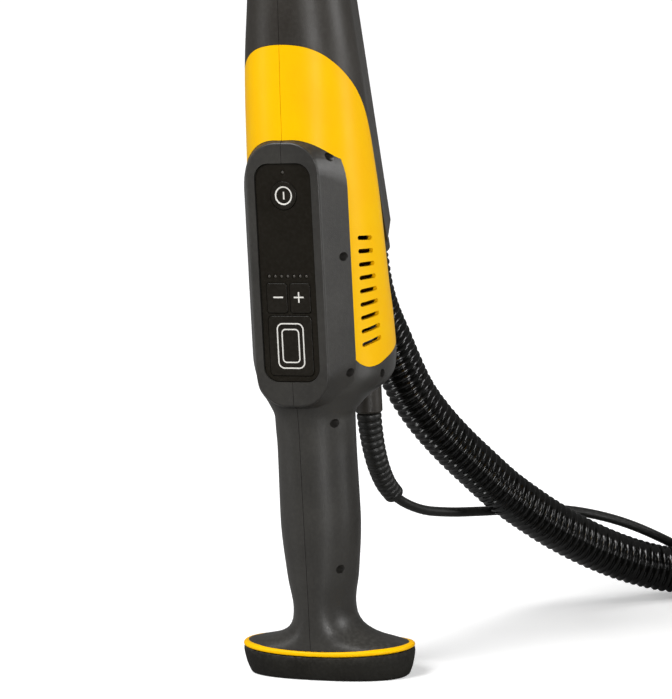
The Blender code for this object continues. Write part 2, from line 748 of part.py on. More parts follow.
def build_grip_shells():
    """Grip, lower housing and panel frame, in two mouldings that meet down the middle."""
    for side, name in ((1, "grip_shell_right"), (-1, "grip_shell_left")):
        shell = half_body(name, side, BODY_SECTIONS[0][0], GRIP_TOP, 0.030)
        keep(shell, side_region(f"{name}_region", COVER_LOWER_LINE, above=False))
        frame = frame_block(f"{name}_frame", 0.0)
        half = box(f"{name}_half", (side * GAP / 2, -0.06, 0.10), (side * 0.09, 0.06, 0.45))
        join(shell, keep(frame, half))
        cut(shell, case_hollow(f"{name}_hollow", 0.0340, 0.4200, 0.050))
        cut(shell, board_box(f"{name}_board_pocket", GAP))
        cut(shell, plate(f"{name}_panel_recess", rounded_outline(
            PANEL_WIDTH + 2 * GAP, PANEL_HEIGHT + 2 * GAP, PANEL_CORNER + GAP,
            (0.0, PANEL_MIDDLE)), FRAME_FACE - 0.004, panel_face() + PANEL_THICKNESS + GAP))
        cut(shell, plate(f"{name}_panel_window", rounded_outline(
            PANEL_WIDTH - 2 * WALL, PANEL_HEIGHT - 2 * WALL, PANEL_CORNER / 2,
            (0.0, PANEL_MIDDLE)), FRAME_FACE - 0.004, board_front() + 0.004))
        cut(shell, rod(f"{name}_inlet_hole", (0, INLET_PLACE, 0.15), (0, INLET_PLACE, INLET_HIGH + 0.01),
                       INLET_RADIUS + GAP, 24))
        drill_case_screws(shell, side, range(len(CASE_SCREWS)))
        as_part(shell, black_plastic())


def slot_outline(index):
    """One vent slot seen from the side, as a rounded bar in Y and Z."""
    share = index / (SLOT_COUNT - 1)
    length = SLOT_SHORTEST + (SLOT_LONGEST - SLOT_SHORTEST) * share
    tilt = math.radians(SLOT_FIRST_TILT + (SLOT_LAST_TILT - SLOT_FIRST_TILT) * share)
    radius = SLOT_THICKNESS / 2
    start = Vector((SLOT_START + radius, SLOT_FIRST_HEIGHT - SLOT_PITCH * index))
    along = Vector((math.cos(tilt), math.sin(tilt)))
    end = start + along * (length - SLOT_THICKNESS)
    turn = math.degrees(tilt)
    return (ellipse_arc(end, radius, turn - 90, turn + 90, 3)
            + ellipse_arc(start, radius, turn + 90, turn + 270, 3))


def build_side_covers():
    """Yellow side covers with the vent slots."""
    for side, name in ((1, "side_cover_right"), (-1, "side_cover_left")):
        cover = half_body(name, side, COVER_LOW, COVER_HIGH, 0.030)
        keep(cover, side_region(f"{name}_below", upper_line(), above=False))
        keep(cover, side_region(f"{name}_above", COVER_LOWER_LINE, above=True))
        cut(cover, hollow(f"{name}_hollow", WALL, COVER_LOW - 0.01, COVER_HIGH + 0.02, 0.030))
        cut(cover, frame_block(f"{name}_frame", GAP))
        for index in range(SLOT_COUNT):
            cut(cover, plate(f"{name}_slot_{index + 1}", slot_outline(index), side * 0.030, side * 0.060, "X"))
        as_part(cover, yellow_plastic())


def tube_matrix(distance=0.0):
    """Place on the dust tube's axis, measured up it from its lower end."""
    end_y, end_z = DUST_TUBE_END
    turn = Matrix.Rotation(math.radians(DUST_TUBE_LEAN), 4, "X")
    return Matrix.Translation((0, end_y, end_z)) @ turn @ Matrix.Translation((0, 0, distance))


def build_upper_shells():
    """Black upper housing, which also wraps the dust tube down the back."""
    for side, name in ((1, "upper_shell_right"), (-1, "upper_shell_left")):
        shell = half_body(name, side, SPINE_LOW, HOUSING_TOP, 0.030, with_spine=True)
        keep(shell, side_region(f"{name}_region", upper_line(), above=True))
        space = hollow(f"{name}_hollow", WALL, SPINE_LOW - 0.01, HOUSING_TOP - 0.026, 0.030, with_spine=True)
        lifted = [(y, z + WALL) for y, z in upper_line()[-2:]]
        floor = [(-0.07, 0.28), (lifted[0][0] - 0.006, 0.28), (lifted[0][0] - 0.006, lifted[0][1]),
                 lifted[1], (lifted[1][0], 0.60), (-0.07, 0.60)]
        keep(space, plate(f"{name}_floor", floor, -0.10, 0.10, "X"))
        cut(shell, space)
        low = tube_matrix(-0.03) @ Vector((0, 0, 0))
        high = tube_matrix(0.21) @ Vector((0, 0, 0))
        cut(shell, rod(f"{name}_tube_bore", low, high, DUST_TUBE_RADIUS + GAP, 24))
        cut(shell, rod(f"{name}_neck_bore", (0, NECK_PLACE, NECK_LOW - 0.004),
                       (0, NECK_PLACE, HOUSING_TOP + 0.01), NECK_RADIUS + GAP, 24))
        as_part(shell, black_plastic())


def oval_row(width, depth, height, sag, count=32):
    """One level of the end cap."""
    row = []
    for k in range(count):
        angle = 2 * math.pi * k / count
        normal = Vector((math.cos(angle), math.sin(angle)))
        point = farthest_point(normal, width / 2, 0.0, depth / 2, CAP_SQUARENESS)
        row.append((point.x, point.y, height + (end_sag(point.x, height) if sag else 0.0)))
    return row


def build_end_cap():
    """Rubber end cap and the yellow band above it."""
    rows = [oval_row(CAP_WIDTH - 2 * inset, CAP_DEPTH - 2 * inset, height, height > 0.0) for height, inset in CAP_SIDE]
    rows.append(oval_row(CAP_WIDTH - 0.0006, CAP_DEPTH - 0.0006, CAP_HEIGHT, True))
    as_part(loft("end_cap", rows, across=1), rubber())
    low = CAP_HEIGHT + GAP
    high = low + BAND_HEIGHT
    band = [oval_row(CAP_WIDTH - 0.0012, CAP_DEPTH, low, True),
            oval_row(CAP_WIDTH - 0.0004, CAP_DEPTH + 0.0004, (low + high) / 2, True),
            oval_row(CAP_WIDTH - 0.0030, CAP_DEPTH - 0.0004, high, True)]
    as_part(loft("end_band", band, across=1), yellow_plastic())


def key_shapes():
    """Each key's name, outline and middle."""
    speed = {}
    for sign, name in ((-1, "minus_key"), (1, "plus_key")):
        speed[name] = (sign * SPEED_KEY_OFFSET, SPEED_KEY_HEIGHT)
    shapes = {"power_key": ((0.0, POWER_KEY_HEIGHT), lambda grow: ellipse_arc(
        (0.0, POWER_KEY_HEIGHT), POWER_KEY_RADIUS + grow, 0, 345, 23))}
    for name, middle in speed.items():
        shapes[name] = (middle, lambda grow, middle=middle: rounded_outline(
            SPEED_KEY_WIDTH + 2 * grow, SPEED_KEY_LENGTH + 2 * grow, 0.0018 + grow, middle, 3))
    middle = (0.0, START_KEY_HEIGHT)
    shapes["start_key"] = (middle, lambda grow: rounded_outline(
        START_KEY_WIDTH + 2 * grow, START_KEY_LENGTH + 2 * grow, 0.0030 + grow, (0.0, START_KEY_HEIGHT), 3))
    return shapes


def lamp_places():
    """Middle of each lamp in the speed row."""
    return [((k - (LAMP_COUNT - 1) / 2) * LAMP_PITCH, LAMP_HEIGHT) for k in range(LAMP_COUNT)]


def build_panel():
    """Control panel, its keys, light guides and the circuit board behind them."""
    face = panel_face()
    back = face + PANEL_THICKNESS
    panel = plate("control_panel", rounded_outline(
        PANEL_WIDTH, PANEL_HEIGHT, PANEL_CORNER, (0.0, PANEL_MIDDLE)), face, back)
    for name, (_, outline) in key_shapes().items():
        cut(panel, plate(f"{name}_opening", outline(KEY_CLEARANCE), face - 0.002, back + 0.002))
    for k, (x, z) in enumerate(lamp_places() + [(0.0, STATUS_LAMP_HEIGHT)]):
        cut(panel, rod(f"lamp_hole_{k + 1}", (x, face - 0.002, z), (x, back + 0.002, z), LAMP_RADIUS + GAP, 8))
    as_part(panel, material("panel_black", (0.02, 0.018, 0.015), 0.22))

    contact = board_front() - GAP - 0.0001
    for name, (middle, outline) in key_shapes().items():
        key = plate(name, outline(0.0), face - KEY_PROUD, back + GAP + KEY_FLANGE_THICKNESS)
        join(key, plate(f"{name}_flange", outline(KEY_CLEARANCE + KEY_FLANGE), back + GAP,
                        back + GAP + KEY_FLANGE_THICKNESS + 0.0001))
        x, z = middle
        join(key, rod(f"{name}_stem", (x, back, z), (x, contact - KEY_TRAVEL, z), KEY_STEM_RADIUS, 8))
        as_part(hinged(key, (x, face, z)), material("key_black", (0.025, 0.022, 0.019), 0.30))

    guide = box("speed_lamps", (-LAMP_PITCH * LAMP_COUNT / 2, back + GAP, LAMP_HEIGHT - 0.0018),
                (LAMP_PITCH * LAMP_COUNT / 2, contact, LAMP_HEIGHT + 0.0018))
    for k, (x, z) in enumerate(lamp_places()):
        join(guide, rod(f"lamp_{k + 1}", (x, face + GAP, z), (x, back + 0.001, z), LAMP_RADIUS, 8))
    as_part(guide, material("lamp_clear", (0.35, 0.34, 0.32), 0.2))
    status = rod("status_lamp", (0, face + GAP, STATUS_LAMP_HEIGHT), (0, contact, STATUS_LAMP_HEIGHT),
                 LAMP_RADIUS, 12)
    as_part(status, material("lamp_clear", (0.35, 0.34, 0.32), 0.2))

    front = board_front()
    board = board_box("control_board", 0.0)
    for name, ((x, z), _) in key_shapes().items():
        join(board, box(f"{name}_switch", (x - 0.003, contact, z - 0.003), (x + 0.003, front + 0.0005, z + 0.003)))
    as_part(board, material("circuit_board", (0.02, 0.10, 0.04), 0.5))


def build_controller():
    """Speed controller on the lower rear boss, with a finned heat sink behind each row of slots."""
    boss_y, boss_z = CASE_SCREWS[3]
    low = boss_z + BOSS_RADIUS + GAP
    high = low + CONTROLLER_HEIGHT
    half = CONTROLLER_WIDTH / 2
    front, back = boss_y - CONTROLLER_FORWARD, boss_y + CONTROLLER_BEHIND
    case = box("speed_controller", (-half, front, low), (half, back, high))
    bevel(as_part(case, material("controller_grey", (0.10, 0.10, 0.11), 0.5)), 0.0015, 1)
    pitch = (high - low) / FIN_COUNT
    base = half + GAP
    for side, name in ((1, "heat_sink_right"), (-1, "heat_sink_left")):
        near, far = sorted((side * base, side * (base + SINK_PLATE)))
        sink = box(name, (near, front + 0.003, low + 0.002), (far, boss_y + 0.008, high))
        near, far = sorted((side * (base + SINK_PLATE / 2), side * (base + SINK_PLATE + FIN_LENGTH)))
        for k in range(FIN_COUNT):
            z = low + pitch * (k + 0.5)
            join(sink, box(f"{name}_fin_{k + 1}", (near, front + 0.004, z), (far, boss_y + 0.007, z + FIN_THICKNESS)))
        as_part(sink, aluminium())


def build_case_screws():
    """Six case screws, each sunk in its hole."""
    for k, place in enumerate(CASE_SCREWS):
        y, height = place
        seat = screw_seat(place) + GAP
        top = seat + SCREW_HEAD_HEIGHT
        profile = [(0.0, top), (SCREW_HEAD_RADIUS * 0.8, top), (SCREW_HEAD_RADIUS, top - 0.0006),
                   (SCREW_HEAD_RADIUS, seat), (SCREW_RADIUS, seat), (SCREW_RADIUS, -SCREW_REACH),
                   (0.0, -SCREW_REACH)]
        turn = Matrix.Translation((0, y, height)) @ Matrix.Rotation(math.radians(90), 4, "Y")
        screw = baked(turned(f"case_screw_{k + 1}", profile, Matrix.Identity(4), 10), turn)
        as_part(screw, steel())


def build_dust_tube():
    """Dust tube inside the spine and the swivel cuff that takes the hose."""
    length = (DUST_TUBE_TOP - DUST_TUBE_END[1]) / math.cos(math.radians(DUST_TUBE_LEAN))
    inner = DUST_TUBE_RADIUS - DUST_TUBE_WALL
    profile = [(DUST_TUBE_RADIUS, length), (DUST_TUBE_RADIUS, 0.0), (inner, 0.0), (inner, length),
               (DUST_TUBE_RADIUS, length)]
    as_part(turned("dust_tube", profile, tube_matrix(), 24), black_plastic())

    spigot = inner - RUNNING_CLEARANCE
    low = -CUFF_STANDOFF - CUFF_LENGTH
    bore = CUFF_NECK_RADIUS - CUFF_WALL
    profile = [
        (spigot, CUFF_SPIGOT), (spigot, -CUFF_STANDOFF), (CUFF_RADIUS, -CUFF_STANDOFF),
        (CUFF_RADIUS + 0.0004, -CUFF_STANDOFF - 0.0010), (CUFF_RADIUS + 0.0004, low + 0.0010),
        (CUFF_RADIUS, low), (CUFF_NECK_RADIUS, low), (CUFF_NECK_RADIUS, low - CUFF_NECK_LENGTH),
        (bore, low - CUFF_NECK_LENGTH), (bore, CUFF_SPIGOT), (spigot, CUFF_SPIGOT)]
    as_part(turned("hose_swivel", profile, tube_matrix(), 20), black_plastic())


def smooth_route(points, spacing):
    """Evenly spaced points on one smooth curve through the route's points."""
    route = np.array(points)
    run = np.concatenate([[0.0], np.cumsum(np.linalg.norm(np.diff(route, axis=0), axis=1))])
    slopes = np.gradient(route, run, axis=0)
    fine = []
    for k in range(len(route) - 1):
        length = run[k + 1] - run[k]
        for t in np.linspace(0, 1, 12, endpoint=False):
            fine.append(
                (1 + 2 * t) * (1 - t) ** 2 * route[k] + t * (1 - t) ** 2 * length * slopes[k]
                + t * t * (3 - 2 * t) * route[k + 1] - t * t * (1 - t) * length * slopes[k + 1])
    fine = np.array(fine + [route[-1]])
    run = np.concatenate([[0.0], np.cumsum(np.linalg.norm(np.diff(fine, axis=0), axis=1))])
    marks = np.linspace(0.0, run[-1], max(2, round(run[-1] / spacing) + 1))
    return np.stack([np.interp(marks, run, fine[:, axis]) for axis in range(3)], axis=1)


def tube_along(name, points, radius, radii=None, resolution=3):
    """A round bar along points, as a mesh with welded ends."""
    curve = bpy.data.curves.new(name, "CURVE")
    curve.dimensions = "3D"
    curve.bevel_depth = radius
    curve.bevel_resolution = resolution
    curve.use_fill_caps = True
    spline = curve.splines.new("POLY")
    spline.points.add(len(points) - 1)
    for k, place in enumerate(points):
        spline.points[k].co = (*place, 1.0)
        spline.points[k].radius = radii[k] if radii is not None else 1.0
    obj = bpy.data.objects.new(name, curve)
    bpy.context.scene.collection.objects.link(obj)
    return settled(obj)


def lead_coil_radii():
    """Outer and inner radius of the lead's coil."""
    half = LEAD_TURN_PITCH * (LEAD_COIL_COLUMNS - 1) / 2 + LEAD_RADIUS
    return LEAD_COIL_RADIUS + half, LEAD_COIL_RADIUS - half


def build_mains_lead():
    """Inlet, ribbed strain relief, lead, its coil and the plug."""
    inlet = [(0.0, INLET_HIGH), (INLET_RADIUS, INLET_HIGH), (INLET_RADIUS, INLET_LOW + 0.001),
             (INLET_RADIUS - 0.0008, INLET_LOW), (0.0, INLET_LOW)]
    place = Matrix.Translation((0, INLET_PLACE, 0))
    as_part(baked(turned("lead_inlet", inlet, Matrix.Identity(4), 24), place), black_plastic())

    centre = smooth_route(RELIEF_ROUTE, RELIEF_STEP)
    radii = []
    for k in range(len(centre)):
        share = k / (len(centre) - 1)
        wave = 0.5 + 0.5 * math.cos(2 * math.pi * RELIEF_RIBS * share)
        body = RELIEF_RADIUS + (RELIEF_END_RADIUS - RELIEF_RADIUS) * share
        radii.append((body - 0.0016 * (1 - wave)) / RELIEF_RADIUS)
    relief = tube_along("lead_relief", centre, RELIEF_RADIUS, radii, 2)
    as_part(relief, rubber())

    lead = tube_along("mains_lead", smooth_route(LEAD_ROUTE, 0.0160), LEAD_RADIUS, None, 2)
    as_part(lead, rubber())
    corner = LEAD_RADIUS * 0.6
    outer, inner = lead_coil_radii()
    high = LEAD_TURN_PITCH * (LEAD_COIL_ROWS - 1) + 2 * LEAD_RADIUS
    ring = [(outer, high - corner), (outer, corner), (outer - corner, 0.0), (inner + corner, 0.0),
            (inner, corner), (inner, high - corner), (inner + corner, high), (outer - corner, high),
            (outer, high - corner)]
    place = Matrix.Translation((*LEAD_COIL_CENTRE, 0))
    as_part(turned("mains_lead_coil", ring, place, 24), rubber())
    build_plug()


def beside_ring(centre, radius, height, bearing, ahead):
    """Place on a line that runs along a ring at a bearing, with Z along the line."""
    turn = math.radians(bearing)
    place = Matrix.Translation((centre[0] + radius * math.cos(turn), centre[1] + radius * math.sin(turn), height))
    along = Vector((-math.sin(turn), math.cos(turn), 0.0)) * ahead
    return place @ along.to_track_quat("Z", "Y").to_matrix().to_4x4()


def build_plug():
    """Two-pin mains plug that lies against the outside of the lead's coil."""
    half = PLUG_BODY_THICKNESS / 2
    start = PLUG_TAIL_LENGTH
    end = start + PLUG_BODY_LENGTH
    tail = [(0.0, start + half), (PLUG_TAIL_RADIUS * 1.35, start + half), (PLUG_TAIL_RADIUS * 1.35, start - 0.004),
            (PLUG_TAIL_RADIUS, 0.0), (0.0, 0.0)]
    plug = turned("mains_plug", tail, Matrix.Identity(4), 16)
    body = rounded_outline(PLUG_BODY_WIDTH, PLUG_BODY_LENGTH, half * 0.6, (0.0, (start + end) / 2), 4)
    join(plug, plate("plug_body", body, -half, half))
    for side in (1, -1):
        place = side * PLUG_PIN_PITCH / 2
        join(plug, rod(f"plug_pin_{side}", (place, 0, end - half), (place, 0, end + PLUG_PIN_LENGTH),
                       PLUG_PIN_RADIUS, 12))
    radius = lead_coil_radii()[0] + GAP + PLUG_TAIL_RADIUS
    place = beside_ring(LEAD_COIL_CENTRE, radius, half, PLUG_BEARING, -1)
    plug = settled(plug)
    as_part(baked(plug, place), rubber())


def last_turn_gap(low, high):
    """The part of the coil's top level that the hose leaves free, from the end cuff to the climb."""
    x, y = HOSE_COIL_CENTRE
    start = x + END_CUFF_LENGTH / 2 + GAP
    far = HOSE_COIL_RADIUS + 3 * HOSE_RADIUS
    near = HOSE_COIL_RADIUS - 3 * HOSE_RADIUS
    climb = math.radians(HOSE_COIL_CLIMB)
    outline = [(start, y - near / 2), (start, y - far), (x - far, y - far),
               (x - far, y - far * math.tan(climb)),
               (x + near * math.cos(climb), y + near * math.sin(climb))]
    return loft("coil_gap", [[(a, b, z) for a, b in outline] for z in (low, high)])


def build_hose():
    """Free length of the dust hose, its coil and the cuff for the vacuum cleaner."""
    hose = tube_along("dust_hose", smooth_route(HOSE_ROUTE, 0.0200), HOSE_RADIUS, None, 3)
    as_part(hose, rubber())
    outer = HOSE_COIL_RADIUS + HOSE_RADIUS
    inner = HOSE_COIL_RADIUS - HOSE_RADIUS
    level = 2 * HOSE_RADIUS
    high = level * HOSE_COIL_LEVELS
    corner = HOSE_RADIUS * 0.6
    ring = [(outer, high - corner), (outer, corner), (outer - corner, 0.0), (inner + corner, 0.0),
            (inner, corner), (inner, high - corner), (inner + corner, high), (outer - corner, high),
            (outer, high - corner)]
    coil = turned("dust_hose_coil", ring, Matrix.Translation((*HOSE_COIL_CENTRE, 0)), 28)
    cut(coil, last_turn_gap(level * (HOSE_COIL_LEVELS - 1), high + corner))
    as_part(coil, rubber())

    radius = END_CUFF_RADIUS
    collar = END_CUFF_LENGTH * 0.25
    bore = radius - END_CUFF_WALL
    profile = [(radius, collar), (radius, 0.0), (bore, 0.0), (bore, END_CUFF_LENGTH),
               (radius - 0.0010, END_CUFF_LENGTH), (radius - 0.0010, collar + 0.0010), (radius, collar)]
    height = level * (HOSE_COIL_LEVELS - 1) + GAP + radius
    along = Matrix.Translation((0, 0, -END_CUFF_LENGTH / 2))
    place = beside_ring(HOSE_COIL_CENTRE, HOSE_COIL_RADIUS, height, END_CUFF_BEARING, -1) @ along
    as_part(baked(turned("hose_end_cuff", profile, Matrix.Identity(4), 24), place), black_plastic())


def at_pivot(x=0.0, y=0.0, z=0.0):
    """A place given from the head's tilt pivot."""
    return Vector((x, NECK_PLACE + y, PIVOT_HEIGHT + z))


def build_neck():
    """Collar, neck tube and the clevis block at its top."""
    middle = Matrix.Translation((0, NECK_PLACE, 0))
    low = HOUSING_TOP + GAP
    high = low + COLLAR_HEIGHT
    bore = NECK_RADIUS + GAP
    profile = [(bore, high), (COLLAR_RADIUS - 0.0030, high), (COLLAR_RADIUS, high - 0.0030),
               (COLLAR_RADIUS, low), (bore, low), (bore, high)]
    as_part(turned("neck_collar", profile, middle, 24), black_plastic())
    inner = NECK_RADIUS - NECK_WALL
    profile = [(NECK_RADIUS, NECK_HIGH), (NECK_RADIUS, NECK_LOW), (inner, NECK_LOW), (inner, NECK_HIGH),
               (NECK_RADIUS, NECK_HIGH)]
    as_part(turned("neck_tube", profile, middle, 24), aluminium())

    plug = inner - GAP
    cap_low = NECK_HIGH + GAP
    cap_high = cap_low + CLEVIS_CAP
    profile = [(0.0, cap_high), (NECK_RADIUS, cap_high), (NECK_RADIUS + 0.0015, cap_low + 0.0020),
               (NECK_RADIUS + 0.0015, cap_low), (plug, cap_low), (plug, NECK_HIGH - PLUG_DEPTH),
               (0.0, NECK_HIGH - PLUG_DEPTH)]
    block = turned("clevis_block", profile, middle, 24)
    lug = ellipse_arc((0.0, CLEVIS_HEIGHT), CLEVIS_RADIUS - GAP, 0, 180, 12)
    lug += [(-CLEVIS_RADIUS + GAP, cap_high - 0.002), (CLEVIS_RADIUS - GAP, cap_high - 0.002)]
    near, far = NECK_PLACE - CLEVIS_LUG / 2, NECK_PLACE + CLEVIS_LUG / 2
    join(block, plate("clevis_lug", lug, near, far))
    cut(block, rod("clevis_bore", (0, near - 0.01, CLEVIS_HEIGHT), (0, far + 0.01, CLEVIS_HEIGHT),
                   ROLL_PIN_RADIUS + GAP, 24))
    as_part(block, material("cast_grey", (0.16, 0.16, 0.17), 0.45, 0.6))


def yoke_outline():
    """Front outline of the yoke, from the pivot's right boss round to the left and back."""
    outer = YOKE_INNER_RADIUS + YOKE_ARM
    arm = YOKE_INNER_RADIUS + YOKE_ARM / 2
    foot = -(PIVOT_HEIGHT - CLEVIS_HEIGHT)
    turn_in = math.degrees(math.asin(CLEVIS_RADIUS / outer))
    bend = (0.0, -YOKE_DROP)
    points = ellipse_arc((arm, YOKE_RISE), YOKE_ARM / 2, 0, 180, 5)
    points += ellipse_arc(bend, YOKE_INNER_RADIUS, 0, -180, 12)
    points += ellipse_arc((-arm, YOKE_RISE), YOKE_ARM / 2, 0, 180, 5)
    points += ellipse_arc(bend, outer, 180, 270 - turn_in, 5)
    points += ellipse_arc((0.0, foot), CLEVIS_RADIUS, 180, 360, 8)
    points += ellipse_arc(bend, outer, 270 + turn_in, 360, 5)
    return [(x, PIVOT_HEIGHT + z) for x, z in points]


def build_yoke():
    """Forked yoke that rolls on the clevis and carries the head between its arms."""
    near, far = NECK_PLACE - YOKE_DEPTH / 2, NECK_PLACE + YOKE_DEPTH / 2
    yoke = plate("yoke", yoke_outline(), near, far)
    slot = CLEVIS_LUG / 2 + GAP
    cut(yoke, box("yoke_slot", (-0.04, NECK_PLACE - slot, CLEVIS_HEIGHT - 0.03),
                  (0.04, NECK_PLACE + slot, CLEVIS_HEIGHT + CLEVIS_RADIUS + 0.0015)))
    cut(yoke, rod("yoke_roll_bore", (0, near - 0.01, CLEVIS_HEIGHT), (0, far + 0.01, CLEVIS_HEIGHT),
                  ROLL_PIN_RADIUS + GAP, 24))
    cut(yoke, rod("yoke_tilt_bore", at_pivot(-0.1), at_pivot(0.1), TILT_BOLT_RADIUS + GAP, 24))
    hinged(yoke, (0, NECK_PLACE, CLEVIS_HEIGHT))
    bevel(as_part(yoke, black_plastic()), YOKE_EDGE, 1, 50)

    head = BOLT_HEAD_HEIGHT
    reach = YOKE_DEPTH / 2 + GAP
    profile = [(0.0, reach + head), (ROLL_PIN_HEAD, reach + head), (ROLL_PIN_HEAD, reach),
               (ROLL_PIN_RADIUS, reach), (ROLL_PIN_RADIUS, -reach), (ROLL_PIN_HEAD, -reach),
               (ROLL_PIN_HEAD, -reach - head), (0.0, -reach - head)]
    turn = Matrix.Translation((0, NECK_PLACE, CLEVIS_HEIGHT)) @ Matrix.Rotation(math.radians(90), 4, "X")
    as_part(baked(turned("roll_pin", profile, Matrix.Identity(4), 20), turn), steel())

    outside = YOKE_INNER_RADIUS + YOKE_ARM + GAP
    for side, name in ((1, "tilt_bolt_right"), (-1, "tilt_bolt_left")):
        profile = [(0.0, outside + head), (TILT_BOLT_HEAD * 0.85, outside + head),
                   (TILT_BOLT_HEAD, outside + head * 0.6), (TILT_BOLT_HEAD, outside),
                   (TILT_BOLT_RADIUS, outside), (TILT_BOLT_RADIUS, MOTOR_HOUSING_RADIUS),
                   (0.0, MOTOR_HOUSING_RADIUS)]
        turn = Matrix.Translation(at_pivot()) @ Matrix.Rotation(math.radians(side * 90), 4, "Y")
        bolt = baked(turned(name, profile, Matrix.Identity(4), 16), turn)
        as_part(hinged(bolt, at_pivot()), steel())


def build_head():
    """Motor housing, motor, shroud, brush ring, backing pad and abrasive disc."""
    place = Matrix.Translation(at_pivot())
    outer = MOTOR_HOUSING_RADIUS
    inner = outer - MOTOR_HOUSING_WALL
    rim = SHROUD_RISE - GAP
    profile = [(outer, rim), (outer, 0.0)]
    profile += [(outer * math.cos(math.radians(a)), -outer * 0.92 * math.sin(math.radians(a)))
                for a in (25, 50, 72)] + [(0.0, -outer * 0.92)]
    profile += [(0.0, -inner * 0.92)]
    profile += [(inner * math.cos(math.radians(a)), -inner * 0.92 * math.sin(math.radians(a)))
                for a in (72, 50, 25)] + [(inner, 0.0), (inner, rim), (outer, rim)]
    housing = turned("motor_housing", profile, place, 20)
    boss_end = YOKE_INNER_RADIUS - RUNNING_CLEARANCE
    for side in (1, -1):
        join(housing, rod(f"motor_boss_{side}", at_pivot(side * (inner - 0.002)),
                          at_pivot(side * boss_end), MOTOR_BOSS_RADIUS, 24))
        cut(housing, rod(f"motor_boss_bore_{side}", at_pivot(side * (outer - GAP)),
                         at_pivot(side * 0.1), TILT_BOLT_RADIUS + GAP, 24))
    as_part(hinged(housing, at_pivot()), yellow_plastic())

    top = SHROUD_RISE - GAP
    low = top - MOTOR_LENGTH
    bore = SHAFT_RADIUS + RUNNING_CLEARANCE
    seat = top - SHAFT_DEPTH
    profile = [(0.0, seat), (bore, seat), (bore, top), (MOTOR_RADIUS, top), (MOTOR_RADIUS, low + 0.012),
               (MOTOR_RADIUS * 0.7, low), (0.0, low)]
    as_part(turned("motor", profile, place, 20), steel())

    floor = SHROUD_RISE + SHROUD_WALL
    lip = SHROUD_RISE + SHROUD_HEIGHT
    skirt = SHROUD_RADIUS - SHROUD_WALL
    hole = SHAFT_RADIUS + RUNNING_CLEARANCE
    profile = [(SHROUD_RADIUS, lip), (SHROUD_RADIUS, SHROUD_RISE + 0.006), (SHROUD_RADIUS - 0.006, SHROUD_RISE),
               (hole, SHROUD_RISE), (hole, floor), (skirt - 0.004, floor), (skirt, floor + 0.004),
               (skirt, lip), (SHROUD_RADIUS, lip)]
    as_part(turned("dust_shroud", profile, place, 32), black_plastic())

    base = PAD_RISE
    top = base + PAD_THICKNESS
    outside = skirt - GAP
    bottom = floor + BRUSH_TRAVEL + BRUSH_LIFT
    tips = top + GAP + DISC_THICKNESS + BRUSH_PROUD
    profile = [(outside, tips), (outside, bottom), (outside - BRUSH_THICKNESS, bottom),
               (outside - BRUSH_THICKNESS, tips), (outside, tips)]
    as_part(turned("brush_ring", profile, place, 32), material("bristle_black", (0.03, 0.03, 0.03), 0.9))

    hub = floor + RUNNING_CLEARANCE
    bore = SHAFT_RADIUS + GAP
    profile = [(0.0, top), (PAD_RADIUS, top), (PAD_RADIUS, base + 0.004), (PAD_RADIUS - 0.004, base),
               (0.024, base), (0.018, hub), (bore, hub), (bore, top - PAD_CROWN), (0.0, top - PAD_CROWN)]
    pad = turned("backing_pad", profile, place, 28)
    as_part(pad, material("pad_foam", (0.08, 0.08, 0.08), 0.8))
    shaft = rod("drive_shaft", at_pivot(z=seat + GAP), at_pivot(z=top - PAD_CROWN - GAP), SHAFT_RADIUS, 16)
    as_part(hinged(shaft, at_pivot()), steel())
    disc = rod("abrasive_disc", at_pivot(z=top + GAP), at_pivot(z=top + GAP + DISC_THICKNESS), PAD_RADIUS, 32)
    hinged(disc, at_pivot())
    for k in range(DISC_HOLES):
        angle = 2 * math.pi * k / DISC_HOLES
        x, y = DISC_HOLE_CIRCLE * math.cos(angle), DISC_HOLE_CIRCLE * math.sin(angle)
        cut(disc, rod(f"disc_hole_{k + 1}", at_pivot(x, y, top - 0.002), at_pivot(x, y, top + 0.01),
                      DISC_HOLE_RADIUS, 10))
    as_part(disc, material("abrasive", (0.35, 0.24, 0.16), 0.95))


def main():
    """Build every sub-part."""
    clear_scene()
    build_grip_shells()
    build_side_covers()
    build_upper_shells()
    build_end_cap()
    build_panel()
    build_controller()
    build_case_screws()
    build_dust_tube()
    build_mains_lead()
    build_hose()
    build_neck()
    build_yoke()
    build_head()


main()
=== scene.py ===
"""Dresses the frame of a long-reach drywall sander: handle, housings, hose, lead, neck and sanding head.

Every piece is drawn in metres in the frame's own place, rides on one of its bodies and stands for the
solids it names. The tool stands on its rubber end cap, with the control panel towards -Y.
"""

import json
import logging
from collections.abc import Callable, Sequence
from dataclasses import dataclass
from enum import Enum
from math import asin, atan2, ceil, copysign, cos, degrees, hypot, pi, radians, sin, sqrt, tan

import bmesh
import bpy
import numpy as np
from mathutils import Matrix, Vector

